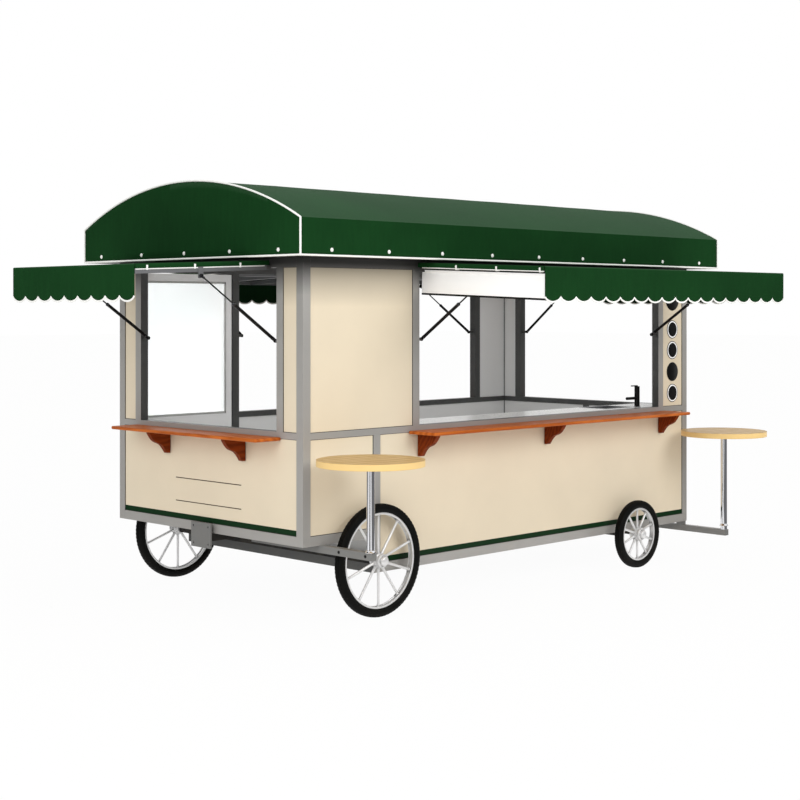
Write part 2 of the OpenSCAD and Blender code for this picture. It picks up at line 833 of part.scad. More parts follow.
big_wheel(1);  // big_wheel_back
big_tyre(1);  // big_tyre_back
small_wheel(-1);  // small_wheel_front
small_tyre(-1);  // small_tyre_front
small_wheel(1);  // small_wheel_back
small_tyre(1);  // small_tyre_back
door();
door_glass();
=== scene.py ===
import math
import bmesh
import bpy
from mathutils import Matrix, Vector, noise


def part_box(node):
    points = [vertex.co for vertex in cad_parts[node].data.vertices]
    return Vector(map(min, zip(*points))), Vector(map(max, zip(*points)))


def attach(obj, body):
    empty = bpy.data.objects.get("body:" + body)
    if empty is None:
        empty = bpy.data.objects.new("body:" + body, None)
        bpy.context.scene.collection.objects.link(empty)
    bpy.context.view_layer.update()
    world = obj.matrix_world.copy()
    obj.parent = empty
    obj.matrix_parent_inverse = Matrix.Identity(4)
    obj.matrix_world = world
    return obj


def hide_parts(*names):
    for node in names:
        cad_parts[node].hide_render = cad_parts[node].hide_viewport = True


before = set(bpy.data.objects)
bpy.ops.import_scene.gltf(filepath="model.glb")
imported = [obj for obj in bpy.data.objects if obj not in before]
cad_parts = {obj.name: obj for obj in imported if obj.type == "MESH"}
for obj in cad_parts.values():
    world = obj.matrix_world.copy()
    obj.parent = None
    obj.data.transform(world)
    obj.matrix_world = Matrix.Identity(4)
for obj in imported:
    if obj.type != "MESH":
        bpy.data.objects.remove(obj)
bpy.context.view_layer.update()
print("frame loaded:", len(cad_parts), "nodes")

up = Vector((0, 0, 1))
outward = {"front": Vector((0, -1, 0)), "back": Vector((0, 1, 0)),
           "left": Vector((-1, 0, 0)), "right": Vector((1, 0, 0))}


# camera

camera = {"place": (-8.157, -7.931, 1.917), "turn": (90, 0, -45), "lens": 69.6, "lift": -0.114}

lens = bpy.data.cameras.new("camera")
lens.lens = camera["lens"]
lens.sensor_width = 36
lens.shift_y = camera["lift"]
view = bpy.data.objects.new("camera", lens)
view.location = camera["place"]
view.rotation_euler = [math.radians(a) for a in camera["turn"]]
bpy.context.collection.objects.link(view)
bpy.context.scene.camera = view


# helpers for colours and shader nodes

def paint(code):
    parts = [int(code[i:i + 2], 16) / 255 for i in (0, 2, 4)]
    return (*[p / 12.92 if p <= 0.04045 else ((p + 0.055) / 1.055) ** 2.4 for p in parts], 1.0)


def dimmed(colour, share):
    return (*[part * share for part in colour[:3]], 1.0)


def addNode(tree, kind, feeds=None, **settings):
    # feeds holds a socket to link or a plain value for each input
    made = tree.nodes.new(kind)
    for key, value in settings.items():
        setattr(made, key, value)
    for socket, source in (feeds or {}).items():
        if isinstance(source, bpy.types.NodeSocket):
            tree.links.new(source, made.inputs[socket])
        else:
            made.inputs[socket].default_value = source
    return made


def calc(tree, operation, *values):
    return addNode(tree, "ShaderNodeMath", dict(enumerate(values)), operation=operation).outputs[0]


def times(tree, a, b):
    return calc(tree, "MULTIPLY", a, b)


def plus(tree, a, b):
    return calc(tree, "ADD", a, b)


def splitAxes(tree, vector):
    return addNode(tree, "ShaderNodeSeparateXYZ", {0: vector}).outputs


def remap(tree, value, low, high, toLow=0.0, toHigh=1.0):
    feeds = {0: value, 1: low, 2: high, 3: toLow, 4: toHigh}
    return addNode(tree, "ShaderNodeMapRange", feeds).outputs[0]


def mixColour(tree, factor, a, b):
    return addNode(tree, "ShaderNodeMix", {0: factor, 6: a, 7: b}, data_type="RGBA").outputs[2]


def noiseAt(tree, vector, scale, detail=3.0, stretch=None):
    if stretch:
        vector = addNode(tree, "ShaderNodeMapping", {0: vector, 3: stretch}).outputs[0]
    feeds = {"Vector": vector, "Scale": scale, "Detail": detail}
    return addNode(tree, "ShaderNodeTexNoise", feeds).outputs[0]


def newGroup(name, inputs, outputs):
    group = bpy.data.node_groups.new(name, "ShaderNodeTree")
    for label, kind, value in inputs:
        socket = group.interface.new_socket(name=label, in_out="INPUT", socket_type="NodeSocket" + kind)
        if value is not None:
            socket.default_value = value
    for label, kind in outputs:
        group.interface.new_socket(name=label, in_out="OUTPUT", socket_type="NodeSocket" + kind)
    return group, group.nodes.new("NodeGroupInput").outputs, group.nodes.new("NodeGroupOutput").inputs


def useGroup(tree, group, feeds):
    return addNode(tree, "ShaderNodeGroup", feeds, node_tree=group).outputs


# shared shader effects

def makeWeave():
    # plain weave from two sets of threads; slanted coordinates keep it on every upright and level face
    group, given, out = newGroup("weave", [("Vector", "Vector", None), ("Thread", "Float", 0.0016)],
                                 [("Height", "Float"), ("Shade", "Float")])
    split = splitAxes(group, given["Vector"])
    waves = []
    for a, b in ((0, 1), (2, 1)):
        turns = calc(group, "DIVIDE", plus(group, split[a], split[b]), given["Thread"])
        waves.append(calc(group, "SINE", times(group, turns, math.tau)))
    threads = times(group, waves[0], waves[1])
    broad = noiseAt(group, given["Vector"], 1.7, 2.0)
    slub = noiseAt(group, given["Vector"], 42.0, 4.0, (1.0, 1.0, 0.15))
    shade = plus(group, times(group, broad, 0.65), times(group, slub, 0.35))
    group.links.new(remap(group, threads, -1.0, 1.0), out["Height"])
    group.links.new(remap(group, shade, 0.3, 0.7), out["Shade"])
    return group


def makeGrain():
    # wood: long rings bent by noise, fine pores on top; the grain runs along X of the given vector
    group, given, out = newGroup("grain", [("Vector", "Vector", None), ("Rings", "Float", 26.0),
                                           ("Light", "Color", (1, 1, 1, 1)), ("Dark", "Color", (0, 0, 0, 1))],
                                 [("Color", "Color"), ("Rough", "Float"), ("Height", "Float")])
    vector = given["Vector"]
    bend = noiseAt(group, vector, 3.0, 3.0, (0.35, 1.0, 1.0))
    across = splitAxes(group, vector)
    place = plus(group, across[1], times(group, bend, 0.22))
    place = plus(group, place, times(group, across[2], 0.6))
    rings = calc(group, "SINE", times(group, place, times(group, given["Rings"], math.tau)))
    pores = noiseAt(group, vector, 260.0, 3.0, (0.045, 1.0, 1.0))
    streak = noiseAt(group, vector, 46.0, 4.0, (0.05, 1.0, 1.0))
    mask = plus(group, times(group, remap(group, rings, -1.0, 1.0), 0.34), times(group, streak, 0.5))
    mask = plus(group, mask, times(group, remap(group, pores, 0.52, 0.74), 0.34))
    mask = remap(group, mask, 0.18, 0.86)
    group.links.new(mixColour(group, mask, given["Light"], given["Dark"]), out["Color"])
    group.links.new(remap(group, mask, 0.0, 1.0, 0.0, 0.16), out["Rough"])
    group.links.new(calc(group, "SUBTRACT", 1.0, mask), out["Height"])
    return group


def makeBrush():
    # fine parallel scratches of rolled or brushed metal, with broad cloudy change
    group, given, out = newGroup("brush", [("Vector", "Vector", None), ("Scale", "Float", 300.0),
                                           ("Stretch", "Vector", (0.02, 1.0, 1.0))],
                                 [("Lines", "Float"), ("Cloud", "Float")])
    bent = addNode(group, "ShaderNodeMapping", {0: given["Vector"], 3: given["Stretch"]}).outputs[0]
    lines = noiseAt(group, bent, given["Scale"], 4.0)
    group.links.new(remap(group, lines, 0.3, 0.7), out["Lines"])
    group.links.new(remap(group, noiseAt(group, given["Vector"], 2.3, 4.0), 0.32, 0.68), out["Cloud"])
    return group


def makeDust():
    # road dust that thins out upward and lies in patches
    group, given, out = newGroup("dust", [("Vector", "Vector", None), ("Color", "Color", (1, 1, 1, 1)),
                                          ("Dust", "Color", paint("a89c88")), ("Amount", "Float", 0.3),
                                          ("Low", "Float", 0.0), ("High", "Float", 1.0)],
                                 [("Color", "Color"), ("Mask", "Float")])
    height = splitAxes(group, given["Vector"])[2]
    fall = remap(group, height, given["Low"], given["High"], 1.0, 0.0)
    patch = remap(group, noiseAt(group, given["Vector"], 9.0, 6.0), 0.38, 0.72)
    mask = times(group, times(group, fall, patch), given["Amount"])
    group.links.new(mixColour(group, mask, given["Color"], given["Dust"]), out["Color"])
    group.links.new(mask, out["Mask"])
    return group


def makeWear():
    # paint rubbed thin where a bevelled normal leaves the true one, plus that soft edge normal
    group, given, out = newGroup("edge wear", [("Vector", "Vector", None), ("Color", "Color", (1, 1, 1, 1)),
                                               ("Bare", "Color", (0.6, 0.6, 0.6, 1)),
                                               ("Radius", "Float", 0.003), ("Amount", "Float", 0.5)],
                                 [("Color", "Color"), ("Mask", "Float"), ("Normal", "Vector")])
    soft = addNode(group, "ShaderNodeBevel", {"Radius": given["Radius"]}, samples=4).outputs[0]
    true = addNode(group, "ShaderNodeNewGeometry").outputs["True Normal"]
    facing = addNode(group, "ShaderNodeVectorMath", {0: soft, 1: true},
                     operation="DOT_PRODUCT").outputs["Value"]
    edge = remap(group, facing, 0.985, 0.8, 0.0, 1.0)
    chips = remap(group, noiseAt(group, given["Vector"], 60.0, 5.0), 0.42, 0.66)
    mask = times(group, times(group, edge, chips), given["Amount"])
    group.links.new(mixColour(group, mask, given["Color"], given["Bare"]), out["Color"])
    group.links.new(mask, out["Mask"])
    group.links.new(soft, out["Normal"])
    return group


weave = makeWeave()
grain = makeGrain()
brush = makeBrush()
dust = makeDust()
wear = makeWear()


# finishes

def newFinish(name, settings):
    material = bpy.data.materials.new(name)
    material.use_nodes = True
    tree = material.node_tree
    shader = tree.nodes["Principled BSDF"]
    for socket, value in settings.items():
        shader.inputs[socket].default_value = value
    return material, tree, shader, addNode(tree, "ShaderNodeTexCoord").outputs["Object"]


def addBump(tree, shader, height, strength, depth, normal=None):
    feeds = {"Height": height, "Strength": strength, "Distance": depth}
    if normal is not None:
        feeds["Normal"] = normal
    made = addNode(tree, "ShaderNodeBump", feeds)
    tree.links.new(made.outputs[0], shader.inputs["Normal"])


def paintedFinish(name, colour, rough=0.42, metal=0.0, bare="b9b9b8", amount=0.35, dirt=0.0, shade=0.1,
                  inner=None, coat=0.0, shine=0.5, glow=0.0, eaveShade=None):
    # amount is how far edges are rubbed bare, and dirt how much dust lies on the lower 0.7 m; glow is painted
    # light that the surface gives off itself
    material, tree, shader, at = newFinish(name, {
        "Metallic": metal, "Coat Weight": coat, "Specular IOR Level": shine,
        "Emission Color": (1, 1, 1, 1), "Emission Strength": glow})
    lines = useGroup(tree, brush, {"Vector": at, "Scale": 90.0, "Stretch": (1.0, 1.0, 1.0)})
    base = paint(colour)
    tint = mixColour(tree, lines["Cloud"], dimmed(base, 1 - shade), base)
    split = splitAxes(tree, at)
    if eaveShade:
        # painted shade: the colour darkens towards the roof edge, standing in for the shade under it
        low, high, depth = eaveShade
        tint = mixColour(tree, remap(tree, split[2], low, high, 0.0, depth), tint, paint("161616"))
    if inner:
        # faces inside the walls carry the lining's colour
        insideX = calc(tree, "LESS_THAN", calc(tree, "ABSOLUTE", split[0]), inner["x"])
        insideY = calc(tree, "LESS_THAN", calc(tree, "ABSOLUTE", split[1]), inner["y"])
        tint = mixColour(tree, times(tree, insideX, insideY), tint, paint(inner["colour"]))
    worn = useGroup(tree, wear, {"Vector": at, "Color": tint, "Bare": paint(bare), "Radius": 0.002,
                                 "Amount": amount})
    dusty = useGroup(tree, dust, {"Vector": at, "Color": worn["Color"], "Amount": dirt, "Low": 0.0,
                                  "High": 0.7})
    tree.links.new(dusty["Color"], shader.inputs["Base Color"])
    roughness = plus(tree, remap(tree, lines["Lines"], 0.0, 1.0, rough - 0.05, rough + 0.05),
                     times(tree, dusty["Mask"], 0.4))
    tree.links.new(roughness, shader.inputs["Roughness"])
    addBump(tree, shader, noiseAt(tree, at, 420.0, 2.0), 0.08, 0.0004, worn["Normal"])
    return material


def metalFinish(name, colour, rough=0.25, metal=1.0, scale=260.0, stretch=(0.02, 1.0, 1.0), swing=0.08,
                shade=0.12, creaseShade=0.0):
    # swing is how far the roughness varies between scratches, and the crease setting is how much shade is
    # painted into corners and creases
    material, tree, shader, at = newFinish(name, {"Metallic": metal})
    lines = useGroup(tree, brush, {"Vector": at, "Scale": scale, "Stretch": stretch})
    base = paint(colour)
    clouded = mixColour(tree, lines["Cloud"], dimmed(base, 1 - shade), base)
    worn = useGroup(tree, wear, {"Vector": at, "Color": clouded, "Bare": paint("e6e6e4"),
                                 "Radius": 0.0015, "Amount": 0.3})
    tint = worn["Color"]
    if creaseShade:
        # painted shade: ambient occlusion darkens the colour in corners and creases
        clear = addNode(tree, "ShaderNodeAmbientOcclusion", {"Distance": 0.045}, samples=6).outputs["AO"]
        tint = mixColour(tree, remap(tree, clear, 0.25, 0.95, creaseShade, 0.0), tint, paint("2a2a2a"))
    tree.links.new(tint, shader.inputs["Base Color"])
    tree.links.new(remap(tree, lines["Lines"], 0.0, 1.0, rough - swing / 2, rough + swing / 2),
                   shader.inputs["Roughness"])
    addBump(tree, shader, lines["Lines"], 0.05, 0.0003, worn["Normal"])
    return material


def woodFinish(name, light, dark, rings=26.0, rough=0.3, turn=0.0, coat=0.35, rim=None, radius=0.003,
               shine=0.3):
    material, tree, shader, at = newFinish(name, {
        "Coat Weight": coat, "Coat Roughness": 0.18, "Specular IOR Level": shine})
    turned = addNode(tree, "ShaderNodeMapping", {0: at, 2: (0, 0, math.radians(turn))}).outputs[0]
    wood = useGroup(tree, grain, {"Vector": turned, "Rings": rings, "Light": paint(light),
                                  "Dark": paint(dark)})
    tint = wood["Color"]
    if rim:
        # the edge band is paler than the face
        facing = addNode(tree, "ShaderNodeNewGeometry").outputs["Normal"]
        level = calc(tree, "ABSOLUTE", splitAxes(tree, facing)[2])
        tint = mixColour(tree, remap(tree, level, 0.35, 0.8), paint(rim), tint)
    worn = useGroup(tree, wear, {"Vector": at, "Color": tint, "Bare": paint(light), "Radius": radius,
                                 "Amount": 0.45})
    tree.links.new(worn["Color"], shader.inputs["Base Color"])
    tree.links.new(plus(tree, rough, wood["Rough"]), shader.inputs["Roughness"])
    addBump(tree, shader, wood["Height"], 0.18, 0.0006, worn["Normal"])
    return material


def clothFinish(name, light, dark, thread=0.0016, sheen=0.25, streak=0.0):
    material, tree, shader, at = newFinish(name, {
        "Specular IOR Level": 0.04, "Sheen Weight": sheen, "Sheen Roughness": 0.45,
        "Sheen Tint": paint("cfe0d2")})
    threads = useGroup(tree, weave, {"Vector": at, "Thread": thread})
    colour = mixColour(tree, threads["Shade"], paint(dark), paint(light))
    if streak:
        # painted light: upward faces are lightened towards a pale green, standing in for light from above
        facing = addNode(tree, "ShaderNodeNewGeometry").outputs["Normal"]
        paintedTopLight = times(tree, remap(tree, splitAxes(tree, facing)[2], 0.15, 0.95), streak)
        colour = mixColour(tree, paintedTopLight, colour, paint("8fb295"))
    colour = mixColour(tree, times(tree, threads["Height"], 0.16), colour, paint(light))
    tree.links.new(colour, shader.inputs["Base Color"])
    tree.links.new(remap(tree, threads["Height"], 0.0, 1.0, 0.86, 0.72), shader.inputs["Roughness"])
    addBump(tree, shader, threads["Height"], 0.35, 0.0004)
    return material


def rubberFinish(name, colour, dirt=0.25):
    material, tree, shader, at = newFinish(name, {"Specular IOR Level": 0.1})
    base = paint(colour)
    mottled = mixColour(tree, noiseAt(tree, at, 14.0, 5.0), dimmed(base, 0.6), base)
    dusty = useGroup(tree, dust, {"Vector": at, "Color": mottled, "Amount": dirt, "Low": 0.0, "High": 0.5,
                                  "Dust": paint("5c564c")})
    tree.links.new(dusty["Color"], shader.inputs["Base Color"])
    tree.links.new(plus(tree, 0.58, times(tree, dusty["Mask"], 0.5)), shader.inputs["Roughness"])
    addBump(tree, shader, noiseAt(tree, at, 380.0, 4.0), 0.25, 0.0005)
    return material


def glassFinish(name, frost, glow):
    # glow is painted light: the frosted glass gives off light though it is no lamp
    material, tree, shader, at = newFinish(name, {
        "Roughness": 0.85, "IOR": 1.3, "Transmission Weight": frost, "Emission Color": (1, 1, 1, 1),
        "Emission Strength": glow})
    smear = remap(tree, noiseAt(tree, at, 3.5, 5.0, (1.0, 1.0, 0.4)), 0.3, 0.8, 0.96, 1.0)
    tint = addNode(tree, "ShaderNodeCombineColor", {0: smear, 1: 1.0, 2: 1.0}).outputs[0]
    tree.links.new(tint, shader.inputs["Base Color"])
    return material


finish = {
    # frame grey: painted shade darkens it towards the roof edge
    "frameGrey": paintedFinish("frame grey", "b8b6b2", rough=0.4, metal=0.35, bare="d4d4d4", amount=0.25,
                               dirt=0.1, inner={"x": 1.9995, "y": 0.9495, "colour": "5a5b5a"},
                               eaveShade=(2.0, 2.2, 0.92)),
    "armGrey": paintedFinish("arm grey", "8b8b89", rough=0.42, metal=0.35, bare="b4b4b4", amount=0.25,
                             dirt=0.15),
    "darkSteel": paintedFinish("dark steel", "202020", rough=0.5, metal=0.2, bare="5a5a5a", amount=0.3,
                               dirt=0.25, shine=0.2),
    # roof deck: near-black outside the walls, painted shade under the canopy's edge; pale lining inside
    "roofDeck": paintedFinish("roof deck", "303132", rough=0.5, bare="606060", amount=0.2, shine=0.2,
                              inner={"x": 1.94, "y": 0.89, "colour": "f6f6f5"}),
    # cream panel: painted shade darkens it towards the roof edge
    "creamPanel": paintedFinish("cream panel", "ecdec4", rough=0.36, bare="f3ead8", amount=0.2, dirt=0.06,
                                shade=0.05, inner={"x": 1.946, "y": 0.896, "colour": "f0f0ef"}, coat=0.1,
                                shine=0.4, eaveShade=(1.93, 2.2, 0.65)),
    "doorPaint": paintedFinish("door paint", "ecdec4", rough=0.36, bare="f3ead8", amount=0.2, dirt=0.06,
                               shade=0.05, inner={"x": 3.0, "y": 0.936, "colour": "fdfdfd"}, shine=0.3),
    "lining": paintedFinish("grey lining", "f0f0ef", rough=0.5, bare="ececec", amount=0.1, dirt=0.08),
    "worktop": paintedFinish("worktop", "fafaf8", rough=0.3, bare="ffffff", amount=0.1, shade=0.03),
    "blackMetal": paintedFinish("black metal", "080808", rough=0.35, bare="3a3a3a", amount=0.1, coat=0.05,
                                shine=0.2),
    # board white glows a little: painted light on the board and the badges' white rings, which are no lamp
    "boardWhite": paintedFinish("board white", "ffffff", rough=0.35, bare="ffffff", amount=0.05,
                                shade=0.01, shine=0.3, glow=0.09),
    "boardBlack": paintedFinish("board black", "0c0c0c", rough=0.4, bare="333333", amount=0.15, shine=0.2),
    "inkBrown": paintedFinish("ink brown", "4a3826", rough=0.5, bare="6a5844", amount=0.1, shine=0.2),
    "stripeGreen": paintedFinish("stripe green", "02300f", rough=0.45, bare="1c5a32", amount=0.15,
                                 shade=0.2, shine=0.15),
    "awningMetal": metalFinish("awning metal", "77787a", rough=0.4, metal=0.4),
    "chrome": metalFinish("chrome", "e6e7ea", rough=0.06, swing=0.03, stretch=(1.0, 1.0, 0.03), shade=0.04),
    "steelSink": metalFinish("sink steel", "b9babc", rough=0.28),
    "rodSteel": metalFinish("rod steel", "4a4b4d", rough=0.22, swing=0.05),
    # wheel silver: painted shade in its corners and creases
    "wheelSilver": metalFinish("wheel silver", "f0f0f0", rough=0.32, metal=0.4, scale=120.0,
                               stretch=(1.0, 1.0, 1.0), shade=0.08, creaseShade=0.75),
    "shelfWood": woodFinish("shelf wood", "d0702a", "9a430e", rings=22.0, coat=0.06, shine=0.1, rough=0.4),
    "shelfWoodAcross": woodFinish("shelf wood across", "d0702a", "9a430e", rings=22.0, turn=90.0,
                                  coat=0.06, shine=0.1, rough=0.4),
    "bracketWood": woodFinish("bracket wood", "8a3a10", "541a04", rings=40.0, rough=0.45, coat=0.0,
                              shine=0.08),
    "tableWood": woodFinish("table wood", "dcb877", "b98f4d", rings=12.0, rough=0.38, rim="f4d08c",
                            radius=0.005, coat=0.1, shine=0.2),
    # canopy cloth: painted light makes its upward faces paler
    "canopyCloth": clothFinish("canopy cloth", "143f1c", "0f3316", sheen=0.01, streak=0.1),
    # cloth underside: a darker copy of the canopy cloth, painted shade for the undersides
    "clothUnderShade": clothFinish("cloth underside", "0c2c14", "071d0d", sheen=0.0),
    "whiteTape": clothFinish("white tape", "fbfbf8", "ecece8", thread=0.0011, sheen=0.05),
    "tyre": rubberFinish("tyre rubber", "0b0c0a", dirt=0.07),
    "seal": rubberFinish("seal rubber", "4c4a45", dirt=0.0),
    "paleSeal": rubberFinish("pale seal rubber", "cfcfcc", dirt=0.0),
    "glass": glassFinish("frosted door glass", frost=0.6, glow=0.22),
}

# the CAD nodes that keep their shape take their finish from here
cadFinish = {
    "frameGrey": ["corner_posts", "counter_rails", "header_rails", "hinge_brackets", "sill_rails",
                  "window_posts"],
    "armGrey": ["table_arms", "hitch_plate"],
    "darkSteel": ["chassis", "big_axle", "small_axle", "hitch_receiver"],
    "roofDeck": ["roof_deck"],
    "creamPanel": ["front_panels", "back_panels", "left_end_panels", "right_end_panels"],
    "doorPaint": ["door"],
    "lining": ["floor_panels", "worktop_uprights"],
    "worktop": ["worktop"],
    "blackMetal": ["tap"] + [side + "_strut_cylinders" for side in outward],
    "boardWhite": ["menu_board"],
    "awningMetal": [side + "_awning_frame" for side in outward],
    "chrome": ["table_posts"],
    "steelSink": ["sink"],
    "rodSteel": [side + "_strut_rods" for side in outward],
    "bracketWood": ["shelf_brackets"],
    "tableWood": ["table_tops"],
    "glass": ["door_glass"],
}
for key, names in cadFinish.items():
    for name in names:
        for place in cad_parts[name].material_slots:
            place.material = finish[key]
print("finishes made:", len(finish))


# helpers for meshes

def axesOf(side):
    # the axis along a side's wall, and the one out of it
    return (0, 1) if side in ("front", "back") else (1, 0)


def onAxis(axis, amount):
    made = Vector((0, 0, 0))
    made[axis] = amount
    return made


def cornersOf(a, b):
    # the low and high corners of the box between two points
    return Vector(map(min, a, b)), Vector(map(max, a, b))


def addPiece(name, bm, finishes, body, smooth=40.0):
    mesh = bpy.data.meshes.new(name)
    bm.to_mesh(mesh)
    bm.free()
    for key in finishes:
        mesh.materials.append(finish[key])
    mesh.polygons.foreach_set("use_smooth", [True] * len(mesh.polygons))
    mesh.set_sharp_from_angle(angle=math.radians(smooth))
    made = bpy.data.objects.new(name, mesh)
    bpy.context.collection.objects.link(made)
    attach(made, body)
    return made


def addBlock(bm, low, high, round, index=0, segments=2):
    # a box with rounded edges
    size = [b - a for a, b in zip(low, high)]
    middle = [(a + b) / 2 for a, b in zip(low, high)]
    grow = Matrix.Translation(middle) @ Matrix.Diagonal((*size, 1.0))
    before = set(bm.faces)
    corners = bmesh.ops.create_cube(bm, size=1.0, matrix=grow)["verts"]
    edges = list(dict.fromkeys(edge for corner in corners for edge in corner.link_edges))
    bmesh.ops.bevel(bm, geom=edges, offset=round, segments=segments, profile=0.5, affect="EDGES")
    for face in set(bm.faces) - before:
        face.material_index = index


def addLathe(bm, profile, at, axis, steps=32, index=0, loop=False, shape=None):
    # profile holds (along the axis, radius) pairs; shape may change a radius by its angle and row
    axis = Vector(axis).normalized()
    side = axis.orthogonal().normalized() if abs(axis.z) > 0.9 else up.cross(axis).normalized()
    other = axis.cross(side)
    rings = []
    for row, (along, radius) in enumerate(profile):
        ring = []
        for k in range(1 if radius < 1e-6 else steps):
            turn = math.tau * k / steps
            r = radius + (shape(row, k) if shape else 0.0)
            spot = Vector(at) + axis * along + (side * math.cos(turn) + other * math.sin(turn)) * r
            ring.append(bm.verts.new(spot))
        rings.append(ring)
    following = rings[1:] + rings[:1] if loop else rings[1:]
    for a, b in zip(rings, following):
        for k in range(steps):
            n = (k + 1) % steps
            corners = [a[k % len(a)], a[n % len(a)], b[n % len(b)], b[k % len(b)]]
            corners = [c for i, c in enumerate(corners) if c not in corners[:i]]
            if len(corners) > 2:
                bm.faces.new(corners).material_index = index


def addSweep(bm, path, section, side):
    # section holds (along side, across it) pairs, carried along the path; side is the fixed direction
    points = [Vector(p) for p in path]
    side = Vector(side).normalized()
    rings = []
    for i, point in enumerate(points):
        before = points[max(i - 1, 0)]
        after = points[min(i + 1, len(points) - 1)]
        across = (after - before).normalized().cross(side).normalized()
        rings.append([bm.verts.new(point + side * a + across * b) for a, b in section])
    count = len(section)
    for a, b in zip(rings, rings[1:]):
        for k in range(count):
            n = (k + 1) % count
            bm.faces.new((a[k], a[n], b[n], b[k]))
    bm.faces.new(list(reversed(rings[0])))
    bm.faces.new(rings[-1])


def roundSection(radius):
    sides = 10
    turns = [math.tau * k / sides for k in range(sides)]
    return [(radius * math.cos(turn), radius * math.sin(turn)) for turn in turns]


def flatSection(a, b, soft=0.25):
    # a flat strip a by b with its corners eased
    e = min(a, b) * soft
    return [(-a / 2 + e, -b / 2), (a / 2 - e, -b / 2), (a / 2, -b / 2 + e), (a / 2, b / 2 - e),
            (a / 2 - e, b / 2), (-a / 2 + e, b / 2), (-a / 2, b / 2 - e), (-a / 2, -b / 2 + e)]


def addScrew(bm, at, axis, radius):
    # a domed head on a low washer
    rise = radius * 0.55
    addLathe(bm, [(0, radius * 1.55), (rise * 0.3, radius * 1.55), (rise * 0.36, radius * 1.42),
                  (rise * 0.38, radius * 1.02), (rise * 0.9, radius * 0.9), (rise * 1.25, radius * 0.5),
                  (rise * 1.3, 0)], at, axis, steps=16)


def addBolt(bm, at, axis, radius):
    # a six-sided head on a washer
    washer = [(0, 1.5), (0.22, 1.5), (0.28, 1.4), (0.3, 0)]
    head = [(0.28, 1), (0.85, 1), (1.0, 0.8), (1.02, 0)]
    for profile, steps in ((washer, 20), (head, 6)):
        addLathe(bm, [(radius * a, radius * r) for a, r in profile], at, axis, steps=steps)


def joinRows(bm, grid):
    for a, b in zip(grid, grid[1:]):
        for k in range(len(a) - 1):
            bm.faces.new((a[k], b[k], b[k + 1], a[k + 1]))


def thicken(cloth, thick):
    # cloth grows inward, and its inner side takes the second finish
    shell = cloth.modifiers.new("thickness", "SOLIDIFY")
    shell.thickness = thick
    shell.offset = -1
    shell.material_offset = 1


def islands(name):
    # the separate solids of a node, each as (low corner, high corner)
    bm = bmesh.new()
    bm.from_mesh(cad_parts[name].data)
    bmesh.ops.remove_doubles(bm, verts=bm.verts, dist=1e-5)
    left = set(bm.verts)
    found = []
    while left:
        stack = [left.pop()]
        low = stack[0].co.copy()
        high = low.copy()
        while stack:
            spot = stack.pop()
            low = Vector(map(min, low, spot.co))
            high = Vector(map(max, high, spot.co))
            for edge in spot.link_edges:
                near = edge.other_vert(spot)
                if near in left:
                    left.remove(near)
                    stack.append(near)
        found.append((low, high))
    bm.free()
    return sorted(found, key=lambda pair: tuple(pair[0]))


# canopy cover: one stretched cloth over hidden hoops, with piping and press studs

canopy = {"wall": 0.224, "hoops": 8, "sag": 0.0011, "wrinkle": 0.0007, "slack": 0.0022, "dish": 0.004,
          "thick": 0.0035, "piping": 0.0062, "stud": 0.0125, "studUp": 0.037, "longStuds": 9, "endStuds": 5,
          "longInset": 0.25, "endInset": 0.2, "columns": 96, "arcs": 56, "wallRows": 8, "hemSteps": 24}


